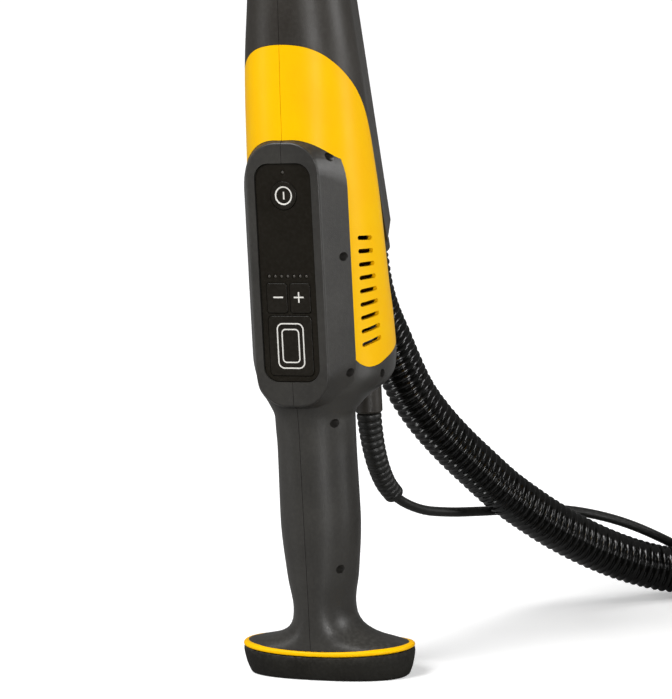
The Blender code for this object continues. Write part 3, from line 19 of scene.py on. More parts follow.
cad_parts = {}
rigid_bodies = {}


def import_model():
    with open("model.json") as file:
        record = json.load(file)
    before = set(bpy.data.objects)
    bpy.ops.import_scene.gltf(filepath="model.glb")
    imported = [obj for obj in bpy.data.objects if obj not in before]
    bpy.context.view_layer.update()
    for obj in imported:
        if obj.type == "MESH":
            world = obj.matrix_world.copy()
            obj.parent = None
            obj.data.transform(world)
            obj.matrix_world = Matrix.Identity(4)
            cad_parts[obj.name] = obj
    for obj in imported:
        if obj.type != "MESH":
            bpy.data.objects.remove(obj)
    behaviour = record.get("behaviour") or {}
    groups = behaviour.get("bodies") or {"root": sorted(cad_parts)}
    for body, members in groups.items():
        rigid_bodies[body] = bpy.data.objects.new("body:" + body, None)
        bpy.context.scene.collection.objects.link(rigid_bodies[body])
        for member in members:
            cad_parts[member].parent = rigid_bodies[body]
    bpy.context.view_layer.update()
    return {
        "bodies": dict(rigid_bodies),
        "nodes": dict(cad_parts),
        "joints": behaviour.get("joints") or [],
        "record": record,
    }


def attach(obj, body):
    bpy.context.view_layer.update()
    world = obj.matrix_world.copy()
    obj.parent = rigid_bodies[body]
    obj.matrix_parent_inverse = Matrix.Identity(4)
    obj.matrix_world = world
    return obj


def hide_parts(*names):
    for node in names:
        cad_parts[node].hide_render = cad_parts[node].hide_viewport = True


LOG = logging.getLogger("drywall_sander")
GAP = 0.0003  # between pieces that meet
WALL = 0.0026  # of the moulded shells
MOULD_EDGE = 0.0004  # round on a shell's edges
PAST = 0.01  # how far a cutter runs past what it cuts
SKIM = 0.002  # how far a cutter runs past the panel
SPAN = 0.10  # half the width of a cutter across the whole body
FILM_SHARP = 14.0  # degrees from which an edge of the panel and keys stays crisp
SHADING_LIMIT = 60000  # most faces of a piece that gets even shading
SHADING_WEIGHT = 70

Piece = bpy.types.Object
Socket = bpy.types.NodeSocket
Point = tuple[float, float, float]
Outline = list[tuple[float, float]]


class Step(Enum):
    """What one solid does to another."""

    ADD = "UNION"
    CUT = "DIFFERENCE"
    KEEP = "INTERSECT"


Steps = list[tuple[Step, Piece]]


class Side(Enum):
    """The two mouldings of a housing."""

    RIGHT = 1
    LEFT = -1

    @property
    def word(self) -> str:
        """The side's word in a piece's name."""
        return self.name.lower()


class Facing(Enum):
    """The axis along which a flat outline is made thick."""

    FRONT = "Y"
    SIDEWAYS = "X"


# --- Mesh tools ---


def linked(name: str, data: bpy.types.ID) -> Piece:
    """Makes an object from its data and links it to the scene.

    Args:
        name: Name of the object.
        data: Its mesh, curve, lamp or camera data.

    Returns:
        The new object.
    """
    made = bpy.data.objects.new(name, data)
    bpy.context.scene.collection.objects.link(made)
    return made


def mesh_piece(name: str, points: Sequence[Sequence[float]], faces: Sequence[Sequence[int]]) -> Piece:
    """Makes an object from points and faces.

    Args:
        name: Name of the piece.
        points: Corners, in metres.
        faces: Corner numbers of each face.

    Returns:
        The new object, linked to the scene.
    """
    data = bpy.data.meshes.new(name)
    data.from_pydata([tuple(map(float, point)) for point in points], [], [tuple(face) for face in faces])
    data.validate()
    return linked(name, data)


def turned_outwards(piece: Piece) -> Piece:
    """Flips a closed mesh whose faces look inwards.

    Args:
        piece: A closed mesh object.

    Returns:
        The same object.
    """
    data = piece.data
    corners = np.array([vertex.co for vertex in data.vertices])
    volume = 0.0
    for polygon in data.polygons:
        ring = corners[list(polygon.vertices)]
        for k in range(1, len(ring) - 1):
            volume += float(np.dot(ring[0], np.cross(ring[k], ring[k + 1])))
    if volume < 0:
        data.flip_normals()
    return piece


def ring_faces(count: int, low: int, high: int) -> list[tuple[int, int, int, int]]:
    """Quads between two rings of corners."""
    return [(low + k, low + (k + 1) % count, high + (k + 1) % count, high + k) for k in range(count)]


def strip_cap(first: int, count: int) -> list[tuple[int, ...]]:
    """Strips that close a ring from side to side, where one face wouldn't be flat.

    Args:
        first: Number of the ring's first corner.
        count: Corners in the ring.

    Returns:
        The faces, by corner number.
    """
    low, high = 0, count - 1
    faces: list[tuple[int, ...]] = []
    while high - low > 2:
        faces.append((first + low, first + low + 1, first + high - 1, first + high))
        low, high = low + 1, high - 1
    if high - low == 2:
        faces.append((first + low, first + low + 1, first + high))
    return faces


def loft(name: str, rows: Sequence[Sequence[Point]], strips: bool = False) -> Piece:
    """A closed solid through rows of points.

    Args:
        name: Name of the piece.
        rows: Rings of points with one count, end to end.
        strips: Closes the ends with strips across instead of with one face.

    Returns:
        The new object.
    """
    count = len(rows[0])
    points = [point for row in rows for point in row]
    faces: list[tuple[int, ...]] = []
    for k in range(len(rows) - 1):
        faces += ring_faces(count, k * count, (k + 1) * count)
    last = (len(rows) - 1) * count
    if strips:
        faces += strip_cap(0, count) + strip_cap(last, count)
    else:
        faces += [tuple(range(count)), tuple(range(last, last + count))]
    piece = mesh_piece(name, points, faces)
    return turned_outwards(evened(piece))


def evened(piece: Piece) -> Piece:
    """Turns neighbouring faces the same way.

    Args:
        piece: A mesh object.

    Returns:
        The same object.
    """
    shape = bmesh.new()
    shape.from_mesh(piece.data)
    bmesh.ops.recalc_face_normals(shape, faces=shape.faces)
    shape.to_mesh(piece.data)
    shape.free()
    return piece


def lathe(name: str, profile: Sequence[tuple[float, float]], place: Matrix, sides: int = 96) -> Piece:
    """Turns a profile about its own Z axis.

    Args:
        name: Name of the piece.
        profile: Radius and height of each point. A last point equal to the first closes it.
        place: Where the axis stands.
        sides: Corners round the axis.

    Returns:
        The new object.
    """
    closed = tuple(profile[0]) == tuple(profile[-1])
    marks = list(profile[:-1]) if closed else list(profile)
    points: list[Vector] = []
    rings: list[list[int]] = []
    for radius, height in marks:
        first = len(points)
        if radius < 1e-7:
            points.append(Vector((0.0, 0.0, height)))
            rings.append([first] * sides)
            continue
        for k in range(sides):
            angle = 2 * pi * k / sides
            points.append(Vector((radius * cos(angle), radius * sin(angle), height)))
        rings.append(list(range(first, first + sides)))
    pairs = list(zip(rings, rings[1:])) + ([(rings[-1], rings[0])] if closed else [])
    faces: list[tuple[int, ...]] = []
    for low, high in pairs:
        for k in range(sides):
            after = (k + 1) % sides
            corners = [low[k], low[after], high[after], high[k]]
            unique = tuple(dict.fromkeys(corners))
            if len(unique) > 2:
                faces.append(unique)
    piece = mesh_piece(name, [place @ point for point in points], faces)
    return turned_outwards(evened(piece))


def rod(name: str, start: Sequence[float], end: Sequence[float], radius: float, sides: int = 48) -> Piece:
    """A round bar between two points, for cutting and joining.

    Args:
        name: Name of the piece.
        start: Middle of one end.
        end: Middle of the other end.
        radius: Half the thickness.
        sides: Corners round the bar.

    Returns:
        The new object.
    """
    start, end = Vector(start), Vector(end)
    along = end - start
    place = Matrix.Translation(start) @ along.to_track_quat("Z", "Y").to_matrix().to_4x4()
    profile = [(0.0, along.length), (radius, along.length), (radius, 0.0), (0.0, 0.0)]
    return lathe(name, profile, place, sides)


def block(name: str, low: Sequence[float], high: Sequence[float]) -> Piece:
    """A box between two corners, for cutting and joining."""
    outline = [(low[0], low[2]), (high[0], low[2]), (high[0], high[2]), (low[0], high[2])]
    return plate(name, outline, low[1], high[1])


def plate(name: str, outline: Outline, near: float, far: float, facing: Facing = Facing.FRONT) -> Piece:
    """A flat outline made thick.

    Args:
        name: Name of the piece.
        outline: Points in X and Z, or in Y and Z where it faces sideways.
        near: Place of one face along the axis.
        far: Place of the other face.
        facing: The axis.

    Returns:
        The new object.
    """
    rows: list[list[Point]] = []
    for depth in (near, far):
        if facing is Facing.FRONT:
            rows.append([(x, depth, z) for x, z in outline])
        else:
            rows.append([(depth, y, z) for y, z in outline])
    return loft(name, rows)


def cushioned_plate(
    name: str, outline: Callable[[float], Outline], near: float, far: float, edge: float, steps: int = 4
) -> Piece:
    """A plate that faces the front, with a round front edge.

    Args:
        name: Name of the piece.
        outline: Gives the outline grown by an amount.
        near: Place of the front face.
        far: Place of the back face.
        edge: Radius of the front edge.
        steps: Steps in the round edge.

    Returns:
        The new object.
    """
    rows = []
    for k in range(steps + 1):
        angle = pi / 2 * k / steps
        depth = near + edge * (1 - sin(angle))
        rows.append([(x, depth, z) for x, z in outline(-edge * (1 - cos(angle)))])
    rows = rows[::-1]
    rows.append([(x, far, z) for x, z in outline(0.0)])
    return loft(name, rows)


def band_plate(
    name: str, outer: Outline, inner: Outline, near: float, far: float
) -> Piece:
    """A flat band between two outlines with one count, facing the front."""
    rows = [(outer, near), (inner, near), (inner, far), (outer, far)]
    return closed_band(name, [(x, depth, z) for ring, depth in rows for x, z in ring])


def closed_band(name: str, points: Sequence[Point]) -> Piece:
    """A band with four edges.

    Args:
        name: Name of the piece.
        points: Its four rings of points, one after the other.

    Returns:
        The new object.
    """
    count = len(points) // 4
    faces: list[tuple[int, ...]] = []
    for k in range(4):
        faces += ring_faces(count, k * count, (k + 1) % 4 * count)
    return turned_outwards(evened(mesh_piece(name, points, faces)))


def arc(centre: Sequence[float], radius: float, start: float, end: float, steps: int) -> Outline:
    """Points on an arc."""
    angles = [radians(start + (end - start) * k / steps) for k in range(steps + 1)]
    return [(centre[0] + radius * cos(a), centre[1] + radius * sin(a)) for a in angles]


def rounded(width: float, height: float, corner: float, middle: Sequence[float], steps: int = 10) -> Outline:
    """A rectangle with round corners, anticlockwise, with some steps in each corner."""
    return arched(width, height, (corner, corner), middle, steps)


def arched(width: float, height: float, corner: tuple[float, float], middle: Sequence[float],
           steps: int) -> Outline:
    """A rectangle whose corners are quarters of an ellipse.

    Args:
        width: Its width.
        height: Its height.
        corner: The ellipse's half width and half height.
        middle: Its middle.
        steps: Steps in each corner.

    Returns:
        The outline, anticlockwise.
    """
    points: Outline = []
    for turn, x, z in ((0, 1, 1), (90, -1, 1), (180, -1, -1), (270, 1, -1)):
        centre = (middle[0] + x * (width / 2 - corner[0]), middle[1] + z * (height / 2 - corner[1]))
        for k in range(steps + 1):
            angle = radians(turn + 90 * k / steps)
            points.append((centre[0] + corner[0] * cos(angle), centre[1] + corner[1] * sin(angle)))
    return points


def set_at(spot: Sequence[float], turn: float, axis: str) -> Matrix:
    """A place, turned by some degrees about one axis."""
    return Matrix.Translation(spot) @ Matrix.Rotation(radians(turn), 4, axis)


def combined(piece: Piece, others: Sequence[tuple[Step, Piece]]) -> Piece:
    """Cuts, joins or keeps with other solids one after the other, and bakes the result.

    Args:
        piece: The solid to work on.
        others: Pairs of operation and solid, in order. The solids are used up.

    Returns:
        The same object with its new mesh.
    """
    for step, other in others:
        joint = piece.modifiers.new(step.name.lower(), "BOOLEAN")
        joint.operation = step.value
        joint.object = other
        joint.solver = "MANIFOLD"
    bake_modifiers(piece)
    for _, other in others:
        bpy.data.objects.remove(other, do_unlink=True)
    return piece


def bake_modifiers(piece: Piece) -> Piece:
    """Puts the shape that the modifiers give into the piece's own mesh.

    Args:
        piece: A mesh object.

    Returns:
        The same object.
    """
    bpy.context.view_layer.update()
    graph = bpy.context.evaluated_depsgraph_get()
    data = bpy.data.meshes.new_from_object(piece.evaluated_get(graph))
    piece.modifiers.clear()
    piece.data = data
    return piece


def soft_edges(piece: Piece, width: float, segments: int = 2, angle: float = 35.0) -> Piece:
    """Rounds the piece's sharp edges.

    Args:
        piece: A mesh object.
        width: Width of the rounding.
        segments: Steps in it.
        angle: Edges sharper than this many degrees are rounded.

    Returns:
        The same object.
    """
    step = piece.modifiers.new("edge", "BEVEL")
    step.width = width
    step.segments = segments
    step.limit_method = "ANGLE"
    step.angle_limit = radians(angle)
    return bake_modifiers(piece)


def sweep(
    name: str, centres: np.ndarray, reach: Callable[[np.ndarray, np.ndarray], np.ndarray], sides: int
) -> Piece:
    """A tube along a line whose radius changes along it and round it.

    Args:
        name: Name of the piece.
        centres: Points of the line.
        reach: Gives the radius from the distance along the line and the angle round it.
        sides: Corners round the tube.

    Returns:
        The new object, closed at both ends.
    """
    along = np.gradient(centres, axis=0)
    along /= np.linalg.norm(along, axis=1)[:, None]
    start = np.cross(along[0], (0.0, 0.0, 1.0))
    if np.linalg.norm(start) < 0.1:
        start = np.cross(along[0], (1.0, 0.0, 0.0))
    normals = [start / np.linalg.norm(start)]
    for heading in along[1:]:
        carried = normals[-1] - heading * np.dot(normals[-1], heading)
        normals.append(carried / np.linalg.norm(carried))
    normal = np.array(normals)
    other = np.cross(along, normal)
    steps = np.linalg.norm(np.diff(centres, axis=0), axis=1)
    run = np.concatenate([[0.0], np.cumsum(steps)])
    angles = np.linspace(0.0, 2 * np.pi, sides, endpoint=False)
    radii = reach(run[:, None], angles[None, :]) + np.zeros((len(run), sides))
    rings = centres[:, None, :] + radii[:, :, None] * (
        normal[:, None, :] * np.cos(angles)[None, :, None] + other[:, None, :] * np.sin(angles)[None, :,
                                                                                                None])
    faces: list[tuple[int, ...]] = []
    for k in range(len(run) - 1):
        faces += ring_faces(sides, k * sides, (k + 1) * sides)
    last = (len(run) - 1) * sides
    faces += [tuple(range(sides))[::-1], tuple(range(last, last + sides))]
    return turned_outwards(mesh_piece(name, rings.reshape(-1, 3), faces))


def even_route(points: Sequence[Sequence[float]], spacing: float) -> np.ndarray:
    """Evenly spaced points on one smooth curve through a route.

    Args:
        points: The route's points.
        spacing: Distance between the new points.

    Returns:
        The new points.
    """
    route = np.array(points, dtype=float)
    run = np.concatenate([[0.0], np.cumsum(np.linalg.norm(np.diff(route, axis=0), axis=1))])
    slopes = np.gradient(route, run, axis=0)
    fine = []
    for k in range(len(route) - 1):
        length = run[k + 1] - run[k]
        for t in np.linspace(0, 1, 16, endpoint=False):
            fine.append(
                (1 + 2 * t) * (1 - t) ** 2 * route[k] + t * (1 - t) ** 2 * length * slopes[k]
                + t * t * (3 - 2 * t) * route[k + 1] - t * t * (1 - t) * length * slopes[k + 1])
    return resampled(np.array(fine + [route[-1]]), spacing)


def resampled(points: np.ndarray, spacing: float) -> np.ndarray:
    """Points an even distance apart on a line through many points.

    Args:
        points: Points close together.
        spacing: Distance between the new points.

    Returns:
        The new points.
    """
    run = np.concatenate([[0.0], np.cumsum(np.linalg.norm(np.diff(points, axis=0), axis=1))])
    marks = np.linspace(0.0, run[-1], max(2, round(float(run[-1]) / spacing) + 1))
    return np.stack([np.interp(marks, run, points[:, axis]) for axis in range(3)], axis=1)


def line_length(points: np.ndarray) -> float:
    """Length of a line through points."""
    return float(np.linalg.norm(np.diff(points, axis=0), axis=1).sum())


def fitted(
    piece: Piece, finish: "Finish", body: str, nodes: Sequence[str] = (), sharp: float = 32.0
) -> Piece:
    """Dresses a piece, sets it on its body and hides the solids it stands for.

    Args:
        piece: The piece.
        finish: Its finish.
        body: The body it moves with.
        nodes: Solids it stands for.
        sharp: Edges sharper than this many degrees stay crisp.

    Returns:
        The same object.
    """
    piece.data.materials.clear()
    piece.data.materials.append(finish.material())
    if isinstance(piece.data, bpy.types.Mesh):
        piece.data.shade_smooth()
        piece.data.set_sharp_from_angle(angle=radians(sharp))
        if len(piece.data.polygons) < SHADING_LIMIT:
            step = piece.modifiers.new("even_shading", "WEIGHTED_NORMAL")
            step.mode = "FACE_AREA"
            step.weight = SHADING_WEIGHT
            step.keep_sharp = True
    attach(piece, body)
    if nodes:
        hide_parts(*nodes)
    LOG.info("%s on %s", piece.name, body)
    return piece


# --- Finishes ---


@dataclass(frozen=True)
class NodeBench:
    """Adds and wires shader nodes in one node tree."""

    tree: bpy.types.NodeTree

    def add(self, kind: str, **settings: object) -> bpy.types.Node:
        """Adds a node and sets its properties.

        Args:
            kind: The node's type name.
            settings: Properties of the node.

        Returns:
            The node.
        """
        node = self.tree.nodes.new(kind)
        for name, value in settings.items():
            setattr(node, name, value)
        return node

    def wire(self, out: Socket, into: Socket) -> None:
        """Joins an output to an input."""
        self.tree.links.new(out, into)

    def place(self) -> Socket:
        """Where a point lies on its piece."""
        return self.add("ShaderNodeTexCoord").outputs["Object"]

    def feed(self, value: object, into: Socket) -> None:
        """Joins a socket to an input, or sets the input to a number."""
        if isinstance(value, Socket):
            self.wire(value, into)
        else:
            into.default_value = value

    def math(self, operation: str, first: object, second: object) -> Socket:
        """Adds a Math node.

        Args:
            operation: Its operation.
            first: A socket or a number.
            second: A socket or a number.

        Returns:
            The result.
        """
        node = self.add("ShaderNodeMath", operation=operation)
        for place, value in enumerate((first, second)):
            self.feed(value, node.inputs[place])
        return node.outputs[0]

    def noise(self, scale: object, detail: float, vector: Socket) -> Socket:
        """Adds a Noise texture.

        Args:
            scale: Its scale, a socket or a number.
            detail: Its detail.
            vector: Its coordinates.

        Returns:
            The noise value.
        """
        node = self.add("ShaderNodeTexNoise")
        node.inputs["Detail"].default_value = detail
        self.feed(scale, node.inputs["Scale"])
        self.wire(vector, node.inputs["Vector"])
        return node.outputs["Fac"]

    def band(self, value: Socket, low: float, high: float) -> Socket:
        """Maps a value between two limits to 0 and 1.

        Args:
            value: The value.
            low: The value that gives 0.
            high: The value that gives 1.

        Returns:
            The mapped value.
        """
        node = self.add("ShaderNodeMapRange")
        node.inputs["From Min"].default_value = low
        node.inputs["From Max"].default_value = high
        self.wire(value, node.inputs["Value"])
        return node.outputs["Result"]

    def blend(self, share: object, first: object, second: object) -> Socket:
        """Mixes two colours.

        Args:
            share: How much of the second, a socket or a number.
            first: A colour or a socket.
            second: A colour or a socket.

        Returns:
            The mixed colour.
        """
        node = self.add("ShaderNodeMix", data_type="RGBA")
        for socket, value in ((node.inputs[0], share), (node.inputs[6], first), (node.inputs[7], second)):
            self.feed((*value, 1.0) if isinstance(value, tuple) else value, socket)
        return node.outputs[2]


class Effect:
    """Shader node groups that several finishes share."""

    @staticmethod
    def begun(name: str, inputs: dict[str, float], outputs: Sequence[str]) -> tuple:
        """Begins a group with named inputs and outputs.

        Args:
            name: Name of the group.
            inputs: Name and value of each input.
            outputs: Name of each output.

        Returns:
            The group, a bench for it, what it is given and what it gives out.
        """
        group = bpy.data.node_groups.new(name, "ShaderNodeTree")
        for label, value in inputs.items():
            socket = group.interface.new_socket(name=label, in_out="INPUT", socket_type="NodeSocketFloat")
            socket.default_value = value
        for label in outputs:
            group.interface.new_socket(name=label, in_out="OUTPUT", socket_type="NodeSocketFloat")
        bench = NodeBench(group)
        return group, bench, bench.add("NodeGroupInput").outputs, bench.add("NodeGroupOutput").inputs

    @classmethod
    def moulded_grain(cls) -> bpy.types.NodeTree:
        """Fine spark-eroded grain of a mould, with slow changes of tone.

        Returns:
            The group, with outputs Height and Tone.
        """
        if "moulded_grain" in bpy.data.node_groups:
            return bpy.data.node_groups["moulded_grain"]
        group, bench, given, result = cls.begun("moulded_grain", {"Grain Scale": 1500.0, "Tone Scale": 30.0},
                                                ("Height", "Tone"))
        place = bench.place()
        cells = bench.add("ShaderNodeTexVoronoi", feature="SMOOTH_F1")
        bench.wire(place, cells.inputs["Vector"])
        bench.wire(given["Grain Scale"], cells.inputs["Scale"])
        fine = bench.noise(given["Grain Scale"], 3.0, place)
        bench.wire(bench.math("ADD", bench.math("MULTIPLY", cells.outputs["Distance"], 0.6), fine),
                   result["Height"])
        slow = bench.noise(given["Tone Scale"], 2.0, place)
        bench.wire(bench.band(slow, 0.32, 0.68), result["Tone"])
        return group

    @classmethod
    def handling_marks(cls) -> bpy.types.NodeTree:
        """Faint rubbed patches and hair scratches from handling.

        Returns:
            The group, with outputs Rubbed and Scratches.
        """
        if "handling_marks" in bpy.data.node_groups:
            return bpy.data.node_groups["handling_marks"]
        group, bench, given, result = cls.begun("handling_marks",
                                                {"Patch Scale": 22.0, "Scratch Scale": 90.0},
                                                ("Rubbed", "Scratches"))
        place = bench.place()
        patches = bench.noise(given["Patch Scale"], 5.0, place)
        bench.wire(bench.band(patches, 0.52, 0.74), result["Rubbed"])
        stretch = bench.add("ShaderNodeMapping")
        stretch.inputs["Scale"].default_value = (9.0, 9.0, 0.35)
        stretch.inputs["Rotation"].default_value = (0.25, 0.4, 0.9)
        bench.wire(place, stretch.inputs["Vector"])
        lines = bench.noise(given["Scratch Scale"], 2.0, stretch.outputs["Vector"])
        bench.wire(bench.band(lines, 0.70, 0.76), result["Scratches"])
        return group

    @classmethod
    def settled_dust(cls) -> bpy.types.NodeTree:
        """Thin dust, thicker where a surface faces up.

        Returns:
            The group, with output Dust.
        """
        if "settled_dust" in bpy.data.node_groups:
            return bpy.data.node_groups["settled_dust"]
        group, bench, given, result = cls.begun("settled_dust", {"Cover": 0.2, "Speck Scale": 400.0},
                                                ("Dust",))
        place = bench.place()
        split = bench.add("ShaderNodeSeparateXYZ")
        bench.wire(bench.add("ShaderNodeNewGeometry").outputs["Normal"], split.inputs["Vector"])
        upward = bench.band(split.outputs["Z"], -0.2, 1.0)
        specks = bench.band(bench.noise(given["Speck Scale"], 4.0, place), 0.42, 0.66)
        cover = bench.math("MULTIPLY", bench.math("ADD", upward, 0.12), given["Cover"])
        bench.wire(bench.math("MULTIPLY", specks, cover), result["Dust"])
        return group


def begun_material(name: str) -> tuple[bpy.types.Material, NodeBench, bpy.types.Node]:
    """Begins a material.

    Args:
        name: Its name.

    Returns:
        The material, a bench for its nodes and its shader.
    """
    made = bpy.data.materials.new(name)
    made.use_nodes = True
    return made, NodeBench(made.node_tree), made.node_tree.nodes["Principled BSDF"]


@dataclass(frozen=True)
class Finish:
    """A moulded or rubber surface: base colour, grain, tone change, handling marks and dust."""

    name: str
    colour: Point
    roughness: float
    tone: Point
    grain_scale: float = 1500.0
    grain_depth: float = 0.25
    tone_scale: float = 30.0
    roughness_change: float = 0.08
    rubbed: float = 0.10
    scratches: float = 0.10
    dust: float = 0.10
    metallic: float = 0.0
    coat: float = 0.0
    coat_roughness: float = 0.1
    specular: float = 0.5

    def material(self) -> bpy.types.Material:
        """The finish's material, made once.

        Returns:
            The material.
        """
        if self.name in bpy.data.materials:
            return bpy.data.materials[self.name]
        made, bench, shader = begun_material(self.name)
        made.diffuse_color = (*self.colour, 1.0)
        for label, value in (("Metallic", self.metallic), ("Coat Weight", self.coat),
                             ("Coat Roughness", self.coat_roughness), ("Specular IOR Level", self.specular)):
            shader.inputs[label].default_value = value
        grain = bench.add("ShaderNodeGroup", node_tree=Effect.moulded_grain())
        grain.inputs["Grain Scale"].default_value = self.grain_scale
        grain.inputs["Tone Scale"].default_value = self.tone_scale
        marks = bench.add("ShaderNodeGroup", node_tree=Effect.handling_marks())
        dust = bench.add("ShaderNodeGroup", node_tree=Effect.settled_dust())
        dust.inputs["Cover"].default_value = self.dust
        toned = bench.blend(grain.outputs["Tone"], self.colour, self.tone)
        lighter = tuple(min(1.0, value * 1.5 + 0.03) for value in self.colour)
        worn = bench.math("ADD", bench.math("MULTIPLY", marks.outputs["Rubbed"], self.rubbed),
                          bench.math("MULTIPLY", marks.outputs["Scratches"], self.scratches))
        worn_colour = bench.blend(worn, toned, lighter)
        dusty = bench.blend(dust.outputs["Dust"], worn_colour, (0.62, 0.60, 0.56))
        bench.wire(self.patterned(bench, dusty), shader.inputs["Base Color"])
        rough = bench.math("ADD", bench.math("MULTIPLY", grain.outputs["Tone"], self.roughness_change),
                           self.roughness)
        polished = bench.math("SUBTRACT", rough,
                              bench.math("MULTIPLY", marks.outputs["Rubbed"], self.rubbed * 0.6))
        bench.wire(bench.math("ADD", polished, bench.math("MULTIPLY", dust.outputs["Dust"], 0.5)),
                   shader.inputs["Roughness"])
        bump = bench.add("ShaderNodeBump")
        bump.inputs["Strength"].default_value = self.grain_depth
        bump.inputs["Distance"].default_value = 0.4 / self.grain_scale
        bench.wire(grain.outputs["Height"], bump.inputs["Height"])
        bench.wire(bump.outputs["Normal"], shader.inputs["Normal"])
        return made

    def patterned(self, bench: NodeBench, colour: Socket) -> Socket:
        """Adds the finish's own pattern, where it has one."""
        return colour


@dataclass(frozen=True)
class GritFinish(Finish):
    """Abrasive paper: grains of several browns."""

    def patterned(self, bench: NodeBench, colour: Socket) -> Socket:
        """Scatters darker and lighter grains.

        Args:
            bench: Bench of the material.
            colour: The colour so far.

        Returns:
            The colour with grains.
        """
        place = bench.place()
        grains = bench.add("ShaderNodeTexVoronoi")
        grains.inputs["Scale"].default_value = 1300.0
        bench.wire(place, grains.inputs["Vector"])
        split = bench.add("ShaderNodeSeparateColor")
        bench.wire(grains.outputs["Color"], split.inputs["Color"])
        return bench.blend(bench.band(split.outputs[0], 0.55, 0.9), colour, (0.55, 0.42, 0.30))


@dataclass(frozen=True)
class BoardFinish(Finish):
    """Circuit board: copper tracks under green lacquer."""

    def patterned(self, bench: NodeBench, colour: Socket) -> Socket:
        """Lays lighter tracks under the lacquer.

        Args:
            bench: Bench of the material.
            colour: The colour so far.

        Returns:
            The colour with tracks.
        """
        place = bench.place()
        tracks = bench.add("ShaderNodeTexBrick")
        tracks.inputs["Scale"].default_value = 180.0
        bench.wire(place, tracks.inputs["Vector"])
        return bench.blend(bench.math("MULTIPLY", tracks.outputs["Fac"], 0.8), colour, (0.10, 0.28, 0.10))


@dataclass(frozen=True)
class InkFinish:
    """Screen-printed ink with slightly uneven cover."""

    name: str
    colour: Point

    def material(self) -> bpy.types.Material:
        """The ink's material, made once.

        Returns:
            The material.
        """
        if self.name in bpy.data.materials:
            return bpy.data.materials[self.name]
        made, bench, shader = begun_material(self.name)
        place = bench.place()
        cover = bench.band(bench.noise(900.0, 3.0, place), 0.30, 0.62)
        faded = tuple(value * 0.86 for value in self.colour)
        bench.wire(bench.blend(cover, faded, self.colour), shader.inputs["Base Color"])
        bench.wire(bench.math("ADD", bench.math("MULTIPLY", cover, 0.1), 0.38), shader.inputs["Roughness"])
        return made


@dataclass(frozen=True)
class FloorFinish:
    """Pale seamless floor: bright to look at, and grey in what it throws back at the tool."""

    name: str = "studio_floor"
    colour: Point = (0.95, 0.95, 0.95)
    bounce: Point = (0.30, 0.30, 0.30)
    glow: float = 0.35

    def material(self) -> bpy.types.Material:
        """The floor's material.

        Returns:
            The material.
        """
        made, bench, shader = begun_material(self.name)
        place = bench.place()
        darker = tuple(value * 0.985 for value in self.colour)
        pale = bench.blend(bench.noise(1.5, 2.0, place), self.colour, darker)
        seen = bench.add("ShaderNodeLightPath").outputs["Is Camera Ray"]
        bench.wire(bench.blend(seen, self.bounce, pale), shader.inputs["Base Color"])
        shader.inputs["Emission Color"].default_value = (1.0, 1.0, 1.0, 1.0)
        bench.wire(bench.math("MULTIPLY", seen, self.glow), shader.inputs["Emission Strength"])
        shader.inputs["Roughness"].default_value = 0.85
        shader.inputs["Specular IOR Level"].default_value = 0.1
        return made


BLACK_PLASTIC = Finish("dark_satin_plastic", (0.024, 0.0205, 0.0165), 0.38, (0.031, 0.027, 0.022), dust=0.03,
                       specular=0.38)
GRIP_PLASTIC = Finish("grip_plastic", (0.026, 0.0245, 0.022), 0.34, (0.034, 0.032, 0.028), dust=0.03,
                      specular=0.42)
YELLOW_PLASTIC = Finish("yellow_plastic_skin", (1.0, 0.56, 0.0), 0.32, (1.0, 0.52, 0.0), grain_scale=1300.0,
                        grain_depth=0.14, rubbed=0.005, scratches=0.01, dust=0.003, specular=0.10)
BUMPER_RUBBER = Finish("bumper_rubber", (0.010, 0.009, 0.007), 0.62, (0.016, 0.015, 0.012), grain_scale=900.0,
                       grain_depth=0.35, dust=0.06, specular=0.2)
LEAD_RUBBER = Finish("lead_rubber", (0.007, 0.007, 0.006), 0.42, (0.011, 0.011, 0.010), grain_scale=2200.0,
                     grain_depth=0.15, dust=0.03, specular=0.4)
HOSE_SKIN = Finish("hose_skin", (0.0015, 0.0015, 0.0012), 0.13, (0.003, 0.003, 0.0025), grain_scale=700.0,
                   grain_depth=0.06, tone_scale=60.0, roughness_change=0.04, rubbed=0.02, scratches=0.02,
                   dust=0.006)
PANEL_FILM = Finish("panel_film", (0.007, 0.0055, 0.003), 0.26, (0.010, 0.008, 0.005), grain_scale=1800.0,
                    grain_depth=0.10, rubbed=0.03, scratches=0.04, dust=0.02, specular=0.2)
KEY_FILM = Finish("key_film", (0.008, 0.0065, 0.004), 0.30, (0.011, 0.009, 0.006), grain_scale=1800.0,
                  grain_depth=0.12, rubbed=0.03, scratches=0.04, dust=0.02, specular=0.22)
LAMP_LENS = Finish("lamp_lens", (0.070, 0.062, 0.052), 0.22, (0.050, 0.045, 0.038), grain_depth=0.04,
                   dust=0.0)
CIRCUIT_BOARD = BoardFinish("board_lacquer", (0.015, 0.090, 0.030), 0.30, (0.020, 0.110, 0.040), coat=0.3)
CONTROLLER_CASE = Finish("controller_paint", (0.075, 0.075, 0.080), 0.50, (0.095, 0.095, 0.100),
                         grain_scale=1100.0)
CAST_GREY = Finish("cast_grey_paint", (0.16, 0.16, 0.17), 0.45, (0.20, 0.20, 0.21), grain_scale=700.0,
                   grain_depth=0.35, metallic=0.6)
ALUMINIUM = Finish("anodised_tube", (0.68, 0.69, 0.70), 0.27, (0.60, 0.61, 0.63), grain_scale=2600.0,
                   grain_depth=0.12, tone_scale=45.0, metallic=1.0)
STEEL = Finish("zinc_plate", (0.62, 0.62, 0.60), 0.24, (0.50, 0.50, 0.50), grain_scale=2000.0,
               grain_depth=0.18, tone_scale=160.0, metallic=1.0)
